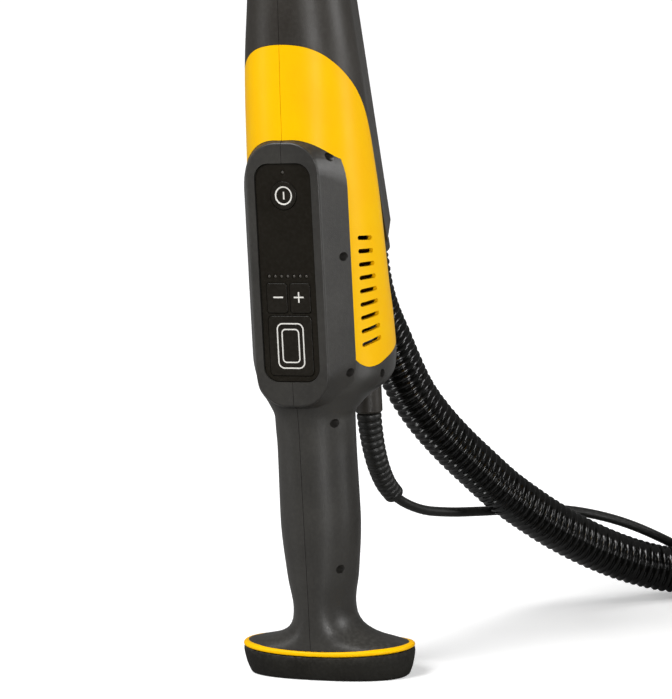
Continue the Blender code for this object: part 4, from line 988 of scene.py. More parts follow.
BRISTLE = Finish("nylon_bristle", (0.022, 0.022, 0.023), 0.42, (0.050, 0.050, 0.050), grain_scale=2600.0,
                 grain_depth=0.3, tone_scale=900.0)
PAD_FOAM = Finish("pad_foam_skin", (0.060, 0.060, 0.062), 0.80, (0.095, 0.095, 0.095), grain_scale=900.0,
                  grain_depth=0.7)
ABRASIVE = GritFinish("aluminium_oxide_grit", (0.30, 0.17, 0.10), 0.85, (0.36, 0.22, 0.13),
                      grain_scale=1500.0,
                      grain_depth=0.9)
PRINT = InkFinish("white_print", (0.80, 0.78, 0.73))


# --- Studio ---


@dataclass(frozen=True)
class Studio:
    """Camera, pale floor and soft light."""

    azimuth: float = 25.0
    distance: float = 2.5
    camera_height: float = 0.55
    target_height: float = 0.2236
    target_shift: float = 0.015
    roll: float = -2.9
    lens: float = 190.95
    floor_size: float = 60.0
    world_light: float = 0.16
    sky_power: float = 2.6
    sky_width: float = 32.0
    sky_from: Point = (-0.45, -0.75, 1.15)

    def build(self) -> None:
        """Sets up the camera, the floor, the lamps, the world and the plain view of colours."""
        bpy.context.scene.view_settings.view_transform = "Standard"
        self.set_camera()
        self.lay_floor()
        self.light_world()
        self.hang_sky_lamp()
        self.hang_lamp("key_lamp", (1.75, -1.95, 0.75), (0.35, 1.3), 31.0)
        self.hang_lamp("left_lamp", (-2.2, -1.3, 0.9), (0.35, 1.6), 10.0)
        self.hang_lamp("right_lamp", (2.4, 0.7, 0.9), (0.6, 1.6), 30.0)

    def axes(self) -> tuple[Vector, Vector, Vector, Vector]:
        """The camera's place and its right, up and forward directions.

        Returns:
            Place, right, up and forward.
        """
        turn = radians(self.azimuth)
        target = Vector((self.target_shift * cos(turn), self.target_shift * sin(turn), self.target_height))
        place = target + Vector((self.distance * sin(turn), -self.distance * cos(turn),
                                 self.camera_height - self.target_height))
        forward = (target - place).normalized()
        right = forward.cross(Vector((0, 0, 1))).normalized()
        up = right.cross(forward)
        tilt = radians(self.roll)
        rolled_right = right * cos(tilt) + up * sin(tilt)
        rolled_up = up * cos(tilt) - right * sin(tilt)
        return place, rolled_right, rolled_up, forward

    def set_camera(self) -> None:
        """Places the camera and makes it the scene's own."""
        place, right, up, forward = self.axes()
        data = bpy.data.cameras.new("studio_camera")
        data.lens = self.lens
        data.sensor_width = 36.0
        data.clip_end = 200.0
        camera = linked("studio_camera", data)
        turn = Matrix((right, up, -forward)).transposed().to_4x4()
        camera.matrix_world = Matrix.Translation(place) @ turn
        bpy.context.scene.camera = camera

    def lay_floor(self) -> None:
        """Lays one wide floor at the height of the end cap's underside."""
        half = self.floor_size / 2
        corners = [(-half, -half, 0), (half, -half, 0), (half, half, 0), (-half, half, 0)]
        floor = mesh_piece("floor", corners, [(0, 1, 2, 3)])
        floor.data.materials.append(FloorFinish().material())

    def light_world(self) -> None:
        """Fills the world with even light, and shows it white behind the floor's edge."""
        world = bpy.data.worlds.new("studio_world")
        world.use_nodes = True
        bench = NodeBench(world.node_tree)
        background = world.node_tree.nodes["Background"]
        background.inputs["Color"].default_value = (1.0, 1.0, 1.0, 1.0)
        seen = bench.add("ShaderNodeLightPath").outputs["Is Camera Ray"]
        shown = bench.math("MULTIPLY", seen, 1.0 - self.world_light)
        bench.wire(bench.math("ADD", shown, self.world_light), background.inputs["Strength"])
        bpy.context.scene.world = world

    def hang_sky_lamp(self) -> None:
        """Hangs a far, very wide lamp that lights the whole floor alike."""
        data = bpy.data.lights.new("sky_lamp", "SUN")
        data.energy = self.sky_power
        data.angle = radians(self.sky_width)
        lamp = linked("sky_lamp", data)
        aim = -Vector(self.sky_from)
        lamp.matrix_world = aim.to_track_quat("-Z", "Y").to_matrix().to_4x4()

    def hang_lamp(self, name: str, place: Point, size: tuple[float, float], power: float) -> None:
        """Hangs one soft upright lamp that faces the tool.

        Args:
            name: Name of the lamp.
            place: Where it hangs.
            size: Its width and its height.
            power: Its power in watts.
        """
        data = bpy.data.lights.new(name, "AREA")
        data.shape = "RECTANGLE"
        data.size, data.size_y = size
        data.energy = power
        lamp = linked(name, data)
        aim = Vector((0.0, 0.0, 0.4)) - Vector(place)
        lamp.matrix_world = Matrix.Translation(place) @ aim.to_track_quat("-Z", "Y").to_matrix().to_4x4()


# --- Mains lead and dust hose ---


@dataclass(frozen=True)
class MainsLead:
    """Mains lead from its strain relief to the plug, with the unseen length coiled on the floor."""

    radius: float = 0.0035
    coil_centre: tuple[float, float] = (0.2096, 0.4421)
    column_radii: tuple[float, ...] = (0.0492, 0.0420, 0.0348)
    pitch: float = 0.0072
    turns: int = 4
    low: float = 0.0037
    plug_bearing: float = 75.0
    plug_radius: float = 0.0582
    plug_height: float = 0.0120
    route: tuple[Point, ...] = (
        (0.0021, 0.1164, 0.1041), (0.0028, 0.1209, 0.1003), (0.0058, 0.1285, 0.0953),
        (0.0110, 0.1450, 0.0880),
        (0.0200, 0.1690, 0.0822), (0.0330, 0.1980, 0.0778), (0.0540, 0.2340, 0.0735),
        (0.0830, 0.2610, 0.0680), (0.1105, 0.2795, 0.0580), (0.1320, 0.2960, 0.0450),
        (0.1475, 0.3140, 0.0305), (0.1520, 0.3330, 0.0160), (0.1535, 0.3520, 0.0068),
        (0.1552, 0.3730, 0.0039), (0.1565, 0.3950, 0.0037), (0.1565, 0.4145, 0.0037),
        (0.1538, 0.4343, 0.0037),
    )

    def wound(self) -> np.ndarray:
        """The coil's line: columns of turns, one inside the other, and the end laid over the top.

        Returns:
            Points of the line.
        """
        top = self.low + self.pitch * self.turns
        stages: list[tuple[float, float, float, float, float]] = []
        aside, ahead = (self.route[-1][k] - self.coil_centre[k] for k in (0, 1))
        start, angle = hypot(aside, ahead), degrees(atan2(ahead, aside)) % 360.0
        stages.append((70.0, start, self.column_radii[0], self.low, self.low))
        for column, radius in enumerate(self.column_radii):
            first, last = (self.low, top) if column % 2 == 0 else (top, self.low)
            stages.append((360.0 * self.turns, radius, radius, first, last))
            if column + 1 < len(self.column_radii):
                stages.append((90.0, radius, self.column_radii[column + 1], last, last))
        over = top + self.pitch + 0.0003
        inner = self.column_radii[-1]
        stages.append((75.0, inner, inner, top, over))
        stages.append((110.0, inner, self.plug_radius, over, over))
        turned = sum(stage[0] for stage in stages)
        arrival = (angle - turned - self.plug_bearing) % 360.0
        stages.append((arrival, self.plug_radius, self.plug_radius, over, self.plug_height))
        points = []
        for sweep_angle, near, far, low, high in stages:
            steps = max(6, round(sweep_angle / 7.5))
            for k in range(steps):
                share = k / steps
                eased = share * share * (3 - 2 * share)
                straight = near == far and abs(sweep_angle) > 359
                radius = near + (far - near) * eased
                height = low + (high - low) * (share if straight else eased)
                turn = radians(angle - sweep_angle * share)
                points.append((self.coil_centre[0] + radius * cos(turn),
                               self.coil_centre[1] + radius * sin(turn), height))
            angle -= sweep_angle
        turn = radians(angle)
        points.append((self.coil_centre[0] + self.plug_radius * cos(turn),
                       self.coil_centre[1] + self.plug_radius * sin(turn), self.plug_height))
        return np.array(points)

    def build(self) -> Piece:
        """Lays the lead.

        Returns:
            The lead.
        """
        laid = even_route(self.route, 0.006)
        points = np.vstack([laid[:-1], self.wound()])
        data = bpy.data.curves.new("lead", "CURVE")
        data.dimensions = "3D"
        data.bevel_depth = self.radius
        data.bevel_resolution = 4
        data.use_fill_caps = True
        spline = data.splines.new("POLY")
        spline.points.add(len(points) - 1)
        for point, place in zip(spline.points, points):
            point.co = (*place, 1.0)
        spline.use_smooth = True
        lead = linked("lead", data)
        fitted(lead, LEAD_RUBBER, "handle", ("mains_lead", "mains_lead_coil"))
        return self.declared(lead)

    def declared(self, lead: Piece) -> Piece:
        """Args:
            lead: The lead.

        Returns:
            The lead.
        """
        plug = MainsPlug(self).build()
        return lead


@dataclass(frozen=True)
class MainsPlug:
    """Two-pin mains plug with a ribbed tail, lying against the coil."""

    lead: MainsLead
    tail_radius: float = 0.0052
    tail_length: float = 0.0400
    width: float = 0.0320
    length: float = 0.0420
    thickness: float = 0.0240
    pin_radius: float = 0.0024
    pin_length: float = 0.0190
    pin_pitch: float = 0.0190

    def build(self) -> Piece:
        """Makes the plug.

        Returns:
            The plug.
        """
        half = self.thickness / 2
        start, end = self.tail_length, self.tail_length + self.length
        tail = [(0.0, start + half), (self.tail_radius * 1.35, start + half),
                (self.tail_radius * 1.35, start - 0.003)]
        ribs = 7
        for k in range(ribs, 0, -1):
            share = k / ribs
            radius = self.tail_radius * (1.0 + 0.32 * share)
            low = (start - 0.004) * (k - 1) / ribs
            high = (start - 0.004) * k / ribs
            tail += [(radius - 0.0012, high), (radius - 0.0012, high - 0.0012), (radius, high - 0.0016),
                     (radius, low + 0.0006)]
        tail.append((0.0, 0.0))
        plug = lathe("plug", tail, Matrix.Identity(4), 32)
        body = self.moulding(start, end, half)
        pins = []
        for side in Side:
            place = side.value * self.pin_pitch / 2
            pin = [(0.0, end + self.pin_length), (self.pin_radius * 0.6, end + self.pin_length),
                   (self.pin_radius, end + self.pin_length - 0.0014), (self.pin_radius, end - half),
                   (0.0, end - half)]
            pins.append((Step.ADD, lathe(f"pin_{side.word}", pin, Matrix.Translation((place, 0, 0)), 24)))
        combined(plug, [(Step.ADD, body), *pins])
        soft_edges(plug, 0.0008)
        plug.data.transform(self.place())
        fitted(plug, BUMPER_RUBBER, "handle", ("mains_plug",))
        plug.data.materials.append(STEEL.material())
        self.plate_pins(plug)
        return plug

    def moulding(self, start: float, end: float, half: float) -> Piece:
        """The plug's body, waisted where fingers hold it.

        Args:
            start: Where the body begins along the plug.
            end: Where it ends.
            half: Half the thickness.

        Returns:
            The body.
        """
        rows = []
        shares = (0.0, 0.04, 0.12, 0.30, 0.50, 0.70, 0.88, 0.96, 1.0)
        widths = (0.74, 0.86, 0.94, 0.98, 0.92, 0.97, 1.0, 0.98, 0.93)
        for share, wide in zip(shares, widths):
            across = self.width * wide
            deep = 2 * half * min(1.0, wide + 0.02)
            outline = rounded(across, deep, deep * 0.38, (0.0, 0.0), 6)
            rows.append([(x, y, start + (end - start) * share) for x, y in outline])
        return loft("plug_body", rows)

    def place(self) -> Matrix:
        """Where the plug lies, with its own Z along it."""
        turn = radians(self.lead.plug_bearing)
        x, y = self.lead.coil_centre
        spot = Vector((x + self.lead.plug_radius * cos(turn), y + self.lead.plug_radius * sin(turn),
                       self.lead.plug_height))
        along = Vector((sin(turn), -cos(turn), 0.0))
        return Matrix.Translation(spot) @ along.to_track_quat("Z", "Y").to_matrix().to_4x4()

    def plate_pins(self, plug: Piece) -> None:
        """Gives the two pins their metal.

        Args:
            plug: The finished plug, in place.
        """
        back = self.place().inverted()
        reach = self.tail_length + self.length + 0.0004
        for polygon in plug.data.polygons:
            if (back @ polygon.center).z > reach:
                polygon.material_index = 1


@dataclass(frozen=True)
class DustHose:
    """Spiral-ribbed dust hose, wound in three levels on the floor, and the cuff for the vacuum cleaner."""

    radius: float = 0.0170
    rib_pitch: float = 0.0054
    rib_depth: float = 0.0028
    sides: int = 28
    steps_per_rib: int = 8
    coil_centre: tuple[float, float] = (0.3840, 0.2677)
    coil_radius: float = 0.1750
    floor_height: float = 0.0172
    level: float = 0.0340
    entry: float = 131.2
    climb: tuple[float, float] = (215.0, 145.0)
    cuff_bearing: float = 270.0
    cuff_radius: float = 0.0210
    cuff_wall: float = 0.0030
    cuff_length: float = 0.0750
    spigot_depth: float = 0.0200
    route: tuple[Point, ...] = (
        (0.0000, 0.0908, 0.2767), (0.0000, 0.0965, 0.2540), (0.0010, 0.1050, 0.2350),
        (0.0040, 0.1155, 0.2150), (0.0070, 0.1245, 0.1960), (0.0120, 0.1350, 0.1740),
        (0.0200, 0.1480, 0.1530), (0.0305, 0.1635, 0.1320), (0.0430, 0.1800, 0.1115),
        (0.0530, 0.1935, 0.0955), (0.0640, 0.2080, 0.0810), (0.0780, 0.2235, 0.0655),
        (0.0920, 0.2380, 0.0525), (0.1080, 0.2540, 0.0400), (0.1260, 0.2710, 0.0290),
        (0.1450, 0.2880, 0.0210), (0.1640, 0.3055, 0.0175), (0.1863, 0.3272, 0.0172),
    )

    def line(self) -> np.ndarray:
        """The hose's whole line, from the swivel into the end cuff.

        Returns:
            Points of the line.
        """
        laid = even_route(self.route, 0.010)
        wound = self.wound()
        middle = (laid[-1] * 0.5 + wound[0] * 0.5)
        lead_in = even_route([laid[-3], laid[-1], middle, *wound[:3]], 0.010)
        return np.vstack([laid[:-3], lead_in[:-1], wound[2:]])

    def wound(self) -> np.ndarray:
        """The coil's line: each level climbs onto the one below, and the last ends in the cuff.

        Returns:
            Points of the line.
        """
        begin, end = self.climb
        first = self.entry + 360.0 - begin
        whole = end + 360.0 - begin
        mouth = degrees(self.cuff_length / 2 / self.coil_radius)
        last = end + 360.0 - self.cuff_bearing - mouth
        rise = self.floor_height + 2 * self.level + GAP
        axis = 2 * self.level + GAP + self.cuff_radius
        stages = ((first, self.floor_height, self.floor_height),
                  (begin - end, self.floor_height, rise - self.level),
                  (whole, rise - self.level, rise - self.level), (begin - end, rise - self.level, rise),
                  (last - 15.0, rise, rise), (15.0, rise, axis))
        angle = self.entry
        points = []
        for turned, low, high in stages:
            steps = max(2, round(turned / 3.0))
            for k in range(steps):
                share = k / steps
                eased = share * share * (3 - 2 * share)
                points.append(self.on_coil(angle - turned * share, low + (high - low) * eased))
            angle -= turned
        points.append(self.on_coil(angle, axis))
        inward = Vector((-1.0, 0.0, 0.0))
        for reach in (0.5, 1.0):
            points.append(tuple(Vector(points[-1]) + inward * self.spigot_depth * reach / 1.5))
        return np.array(points)

    def on_coil(self, bearing: float, height: float) -> Point:
        """A point over the middle of the coil's turns."""
        turn = radians(bearing)
        return (self.coil_centre[0] + self.coil_radius * cos(turn),
                self.coil_centre[1] + self.coil_radius * sin(turn), height)

    def rib_reach(self, run: np.ndarray, angle: np.ndarray) -> np.ndarray:
        """Radius of the ribbed skin.

        Args:
            run: Distance along the hose.
            angle: Angle round it.

        Returns:
            The radius at each place.
        """
        phase = run / self.rib_pitch - angle / (2 * np.pi)
        crest = (0.5 + 0.5 * np.cos(2 * np.pi * phase)) ** 0.75
        return self.radius - self.rib_depth * (1.0 - crest)

    def build(self) -> Piece:
        """Makes the hose and its end cuff.

        Returns:
            The hose.
        """
        line = self.line()
        smooth = resampled(line, self.rib_pitch / self.steps_per_rib)
        hose = sweep("hose", smooth, self.rib_reach, self.sides)
        fitted(hose, HOSE_SKIN, "handle", ("dust_hose", "dust_hose_coil"), sharp=60.0)
        cuff = self.build_cuff()
        return hose

    def build_cuff(self) -> Piece:
        """Makes the cuff that fits the vacuum cleaner.

        Returns:
            The cuff.
        """
        radius, bore = self.cuff_radius, self.cuff_radius - self.cuff_wall
        collar = self.cuff_length * 0.25
        profile = [(radius - 0.0006, collar), (radius, collar - 0.0006)]
        for k in range(5):
            high = collar - 0.0020 - k * 0.0032
            profile += [(radius, high), (radius - 0.0009, high - 0.0005), (radius - 0.0009, high - 0.0014),
                        (radius, high - 0.0019)]
        profile += [(radius, 0.0008), (radius - 0.0008, 0.0), (bore, 0.0), (bore, self.cuff_length),
                    (radius - 0.0020, self.cuff_length), (radius - 0.0012, self.cuff_length - 0.0010),
                    (radius - 0.0010, collar + 0.0010), (radius - 0.0006, collar)]
        start = (self.coil_centre[0] + self.cuff_length / 2, self.coil_centre[1] - self.coil_radius,
                 2 * self.level + GAP + radius)
        place = set_at(start, -90, "Y")
        cuff = lathe("end_cuff", profile, place, 72)
        return fitted(cuff, BLACK_PLASTIC, "handle", ("hose_end_cuff",))


@dataclass(frozen=True)
class StrainRelief:
    """Inlet ferrule and the tapered, ribbed strain relief of the mains lead."""

    inlet_place: float = 0.0850
    inlet_low: float = 0.1680
    inlet_high: float = 0.2150
    inlet_radius: float = 0.0097
    radius: float = 0.0089
    end_radius: float = 0.0072
    ribs: int = 15
    groove: float = 0.0018
    collar: float = 0.94
    route: tuple[Point, ...] = (
        (0.0000, 0.0850, 0.1677), (0.0000, 0.0851, 0.1645), (0.0000, 0.0858, 0.1600),
        (0.0002, 0.0895, 0.1430), (0.0004, 0.0970, 0.1260), (0.0010, 0.1070, 0.1125),
        (0.0020, 0.1160, 0.1045),
    )

    def build(self) -> None:
        """Makes the ferrule and the relief."""
        place = Matrix.Translation((0, self.inlet_place, 0))
        profile = [(0.0, self.inlet_high), (self.inlet_radius, self.inlet_high),
                   (self.inlet_radius, self.inlet_low + 0.0012), (self.inlet_radius - 0.0010, self.inlet_low),
                   (0.0, self.inlet_low)]
        fitted(lathe("inlet_ferrule", profile, place, 64), BLACK_PLASTIC, "handle",
               ("lead_inlet",))
        line = even_route(self.route, 0.0006)
        relief = sweep("strain_relief", line, self.reach(line_length(line)), 36)
        fitted(relief, LEAD_RUBBER, "handle", ("lead_relief",), sharp=40.0)

    def reach(self, length: float) -> Callable[[np.ndarray, np.ndarray], np.ndarray]:
        """Radius of the ribbed taper.

        Args:
            length: Length of the relief.

        Returns:
            A function of the distance along it and the angle round it.
        """
        def radius(run: np.ndarray, angle: np.ndarray) -> np.ndarray:
            """Gives each rib its flat crest and the groove beside it."""
            share = run / length
            body = self.radius + (self.end_radius - self.radius) * share
            phase = (share * self.ribs) % 1.0
            from_crest = np.abs(2.0 * phase - 1.0)
            rib = np.sqrt(np.clip(1.0 - (0.98 * from_crest) ** 3, 0.0, 1.0))
            collar = np.clip((share - self.collar) * 60.0, 0.0, 1.0)
            return body - self.groove * (1.0 - rib) * (1.0 - collar)
        return radius


# --- Grip and housings ---


@dataclass(frozen=True)
class BodyForm:
    """The grip and housing as level sections, with the joint lines of the side covers.

    Each section is a height, half width, front, widest place, depth behind it, and the rounded
    back's middle and radius.
    """

    cap_width: float = 0.1246
    cap_height: float = 0.0168
    end_sag: float = 0.0026
    squareness: float = 2.10
    tube_radius: float = 0.0198
    tube_end: tuple[float, float] = (0.0847, 0.3010)
    tube_lean: float = 13.9
    spine_wall: float = 0.0020
    top: float = 0.5750
    skin_step: float = 0.0035
    skin_count: int = 44
    space_step: float = 0.0100
    space_count: int = 24
    sections: tuple[tuple[float, ...], ...] = (
        (0.02135, 0.0600, -0.0303, 0.0000, 0.0303, 0.0000, 0.0100),
        (0.0232, 0.0545, -0.0303, -0.0004, 0.0298, 0.0000, 0.0100),
        (0.0255, 0.0445, -0.0302, -0.0010, 0.0290, 0.0000, 0.0100),
        (0.0290, 0.0340, -0.0302, -0.0016, 0.0284, 0.0000, 0.0100),
        (0.0340, 0.0255, -0.0301, -0.0022, 0.0276, 0.0000, 0.0100),
        (0.0410, 0.0210, -0.0300, -0.0026, 0.0270, 0.0000, 0.0100),
        (0.0490, 0.0200, -0.0299, -0.0026, 0.0268, 0.0000, 0.0100),
        (0.0700, 0.0237, -0.0300, -0.0025, 0.0272, 0.0000, 0.0100),
        (0.1100, 0.0272, -0.0302, -0.0024, 0.0282, 0.0000, 0.0100),
        (0.1600, 0.0266, -0.0302, -0.0024, 0.0284, 0.0000, 0.0100),
        (0.1730, 0.0270, -0.0302, -0.0030, 0.0288, 0.0020, 0.0110),
        (0.1810, 0.0272, -0.0306, -0.0030, 0.0286, 0.0080, 0.0120),
        (0.1880, 0.0314, -0.0314, 0.0000, 0.0350, 0.0220, 0.0125),
        (0.1930, 0.0358, -0.0326, 0.0040, 0.0425, 0.0450, 0.0130),
        (0.1965, 0.0400, -0.0334, 0.0080, 0.0500, 0.0700, 0.0150),
        (0.2000, 0.0430, -0.0337, 0.0120, 0.0575, 0.0830, 0.0160),
        (0.2070, 0.0454, -0.0340, 0.0170, 0.0590, 0.0815, 0.0175),
        (0.2220, 0.0456, -0.0344, 0.0210, 0.0560, 0.0735, 0.0158),
        (0.2440, 0.0456, -0.0348, 0.0215, 0.0500, 0.0600, 0.0145),
        (0.2700, 0.0456, -0.0348, 0.0200, 0.0420, 0.0480, 0.0130),
        (0.3000, 0.0452, -0.0348, 0.0180, 0.0380, 0.0440, 0.0120),
        (0.3300, 0.0444, -0.0348, 0.0160, 0.0350, 0.0380, 0.0120),
        (0.3600, 0.0430, -0.0338, 0.0130, 0.0320, 0.0300, 0.0120),
        (0.4000, 0.0410, -0.0323, 0.0090, 0.0310, 0.0200, 0.0120),
        (0.4300, 0.0386, -0.0304, 0.0062, 0.0300, 0.0150, 0.0120),
        (0.4600, 0.0355, -0.0288, 0.0060, 0.0290, 0.0150, 0.0120),
        (0.4900, 0.0328, -0.0262, 0.0070, 0.0280, 0.0150, 0.0120),
        (0.5300, 0.0300, -0.0220, 0.0085, 0.0275, 0.0150, 0.0120),
        (0.5750, 0.0275, -0.0175, 0.0100, 0.0275, 0.0150, 0.0120),
    )
    upper_line: Outline = (
        (-0.0700, 0.4335), (-0.0304, 0.4335), (-0.0273, 0.4314), (-0.0225, 0.4273), (-0.0151, 0.4197),
        (-0.0057, 0.4096), (0.0036, 0.3985), (0.0095, 0.3893), (0.0145, 0.3788), (0.0205, 0.3620),
        (0.0270, 0.3420), (0.0350, 0.3220), (0.0430, 0.3060), (0.0520, 0.2929),
    )
    lower_line: Outline = (
        (-0.0700, 0.2450), (-0.0182, 0.2400), (-0.0170, 0.2310), (-0.0150, 0.2232), (-0.0105, 0.2168),
        (-0.0045, 0.2136), (0.0040, 0.2133), (0.0190, 0.2168), (0.0340, 0.2206), (0.0550, 0.2260),
        (0.1200, 0.2420),
    )

    def column(self, place: int, height: float) -> float:
        """One value of the section table at a height, on a curve that never swings past the table.

        Args:
            place: Which value.
            height: The height.

        Returns:
            The value.
        """
        heights = [row[0] for row in self.sections]
        values = [row[place] for row in self.sections]
        k = int(np.clip(np.searchsorted(heights, height) - 1, 0, len(heights) - 2))
        step = heights[k + 1] - heights[k]
        t = (height - heights[k]) / step
        near, far = self.slope(heights, values, k), self.slope(heights, values, k + 1)
        return float((1 + 2 * t) * (1 - t) ** 2 * values[k] + t * (1 - t) ** 2 * step * near
                     + t * t * (3 - 2 * t) * values[k + 1] - t * t * (1 - t) * step * far)

    def slope(self, heights: Sequence[float], values: Sequence[float], k: int) -> float:
        """Slope of the curve at one row of the table.

        Args:
            heights: The table's heights.
            values: The table's values.
            k: The row.

        Returns:
            The slope.
        """
        last = len(heights) - 1
        before = (values[k] - values[k - 1]) / (heights[k] - heights[k - 1]) if k > 0 else None
        after = (values[k + 1] - values[k]) / (heights[k + 1] - heights[k]) if k < last else None
        if before is None or after is None:
            return float(after if before is None else before)
        return 2 * before * after / (before + after) if before * after > 0 else 0.0

    def tube_place(self, height: float) -> float:
        """How far back the dust tube's axis lies at a height."""
        return self.tube_end[0] - (height - self.tube_end[1]) * tan(radians(self.tube_lean))

    @staticmethod
    def farthest(normal: Vector, half_width: float, widest: float, depth: float, squareness: float) -> Vector:
        """The point of a squared ellipse that lies farthest along a direction.

        Args:
            normal: The direction.
            half_width: Half the ellipse's width.
            widest: Where its middle lies.
            depth: Its reach from there.
            squareness: 2 for an ellipse, more for a squarer form.

        Returns:
            The point.
        """
        power = squareness / (squareness - 1)
        a, b = half_width * abs(normal[0]), depth * abs(normal[1])
        reach = (a ** power + b ** power) ** (1 / squareness)
        x = half_width * copysign(a ** (power - 1), normal[0]) / reach
        y = depth * copysign(b ** (power - 1), normal[1]) / reach
        return Vector((x, y + widest))

    def half_outline(self, height: float, inset: float, count: int, spine: bool = False) -> list[Vector]:
        """Right half of the section at a height, front to back.

        Args:
            height: The height.
            inset: How far inside the surface.
            count: Steps round the half.
            spine: Adds the spine over the dust tube.

        Returns:
            Points in X and Y.
        """
        half_width, front, widest, depth, back_middle, back_radius = (
            self.column(place, height) for place in range(1, 7))
        points = []
        for k in range(count + 1):
            angle = radians(-90 + 180 * k / count)
            normal = Vector((max(cos(angle), 0.0), sin(angle)))
            reach = widest - front if normal.y < 0 else depth
            squareness = self.squareness if normal.y < 0 else 2.0
            found = [self.farthest(normal, half_width - inset, widest, reach - inset, squareness)]
            found.append(Vector((0.0, back_middle)) + normal * (back_radius - inset))
            if spine:
                outer = self.tube_radius + GAP + self.spine_wall
                found.append(Vector((0.0, self.tube_place(height))) + normal * (outer - inset))
            points.append(max(found, key=lambda point: point.dot(normal)))
        return points

    def heights(self, low: float, high: float, step: float) -> list[float]:
        """Section heights between two limits.

        Args:
            low: The lower limit.
            high: The upper limit.
            step: Largest step.

        Returns:
            The heights, both limits included.
        """
        marks = [low] + [row[0] for row in self.sections if low + 0.001 < row[0] < high - 0.001] + [high]
        found: list[float] = []
        for near, far in zip(marks, marks[1:]):
            parts = max(1, ceil((far - near) / step))
            found += [near + (far - near) * k / parts for k in range(parts)]
        return found + [high]

    def sag(self, x: float, height: float) -> float:
        """How far the flared end rises towards its sides."""
        above = height > self.cap_height
        fade = max(0.0, 1.0 - (height - self.cap_height) / 0.012) if above else height / self.cap_height
        return self.end_sag * min(1.0, (x / (self.cap_width / 2)) ** 2) * fade

    def half(self, name: str, side: Side, low: float, high: float, spine: bool = False) -> Piece:
        """One half of the body between two heights, flat at the joint plane.

        Args:
            name: Name of the piece.
            side: Which half.
            low: Lower height.
            high: Upper height.
            spine: Adds the spine over the dust tube.

        Returns:
            The solid.
        """
        rows = []
        for height in self.heights(low, high, self.skin_step):
            outline = self.half_outline(height, 0.0, self.skin_count, spine)
            rows.append([(side.value * max(p.x, GAP / 2), p.y,
                          height + self.sag(p.x, height)) for p in outline])
        return loft(name, rows, strips=True)

    def hollow(self, name: str, low: float, high: float, spine: bool = False) -> Piece:
        """The space inside the wall, as a cutter.

        Args:
            name: Name of the cutter.
            low: Lower height.
            high: Upper height.
            spine: Follows the spine over the dust tube.

        Returns:
            The cutter.
        """
        rows = []
        for height in self.heights(low, high, self.space_step):
            half = self.half_outline(height, WALL, self.space_count, spine)
            row = [(p.x, p.y, height) for p in half]
            row += [(-p.x, p.y, height) for p in reversed(half[1:-1])]
            rows.append(row)
        return loft(name, rows)

    def region(self, name: str, line: Outline, above: bool) -> Piece:
        """Everything above or below a joint line, as a solid to keep.

        Args:
            name: Name of the solid.
            line: The line in Y and Z.
            above: Keeps what is above it.

        Returns:
            The solid.
        """
        shift = GAP / 2 if above else -GAP / 2
        points = [(y, z + shift) for y, z in self.eased(line)]
        last = 0.70 if above else 0.0
        points += [(points[-1][0], last), (points[0][0], last)]
        return plate(name, points, -SPAN, SPAN, Facing.SIDEWAYS)

    def eased(self, line: Outline) -> Outline:
        """A joint line with more points, on a smooth curve between its two straight ends.

        Args:
            line: The line.

        Returns:
            The finer line.
        """
        inner = np.array([(0.0, y, z) for y, z in line[1:-1]])
        fine = even_route(inner, 0.002)
        return [line[0]] + [(float(point[1]), float(point[2])) for point in fine] + [line[-1]]

    def upper_joint(self) -> Outline:
        """The covers' upper joint line, carried on square across the end of the dust tube.

        Returns:
            The line in Y and Z.
        """
        end_y, end_z = self.tube_end
        square = tan(radians(self.tube_lean))
        far_y = end_y + 0.040
        return (*self.upper_line, (far_y, end_z + (far_y - end_y) * square))

    def surface_x(self, y: float, height: float) -> float:
        """Half width of the body at a place on its side."""
        outline = self.half_outline(height, 0.0, 48)
        return float(np.interp(y, [p.y for p in outline], [p.x for p in outline]))

    def tube_matrix(self, distance: float = 0.0) -> Matrix:
        """Place on the dust tube's axis, measured up it from its lower end."""
        turn = Matrix.Rotation(radians(self.tube_lean), 4, "X")
        lift = Matrix.Translation((0, 0, distance))
        return Matrix.Translation((0, *self.tube_end)) @ turn @ lift


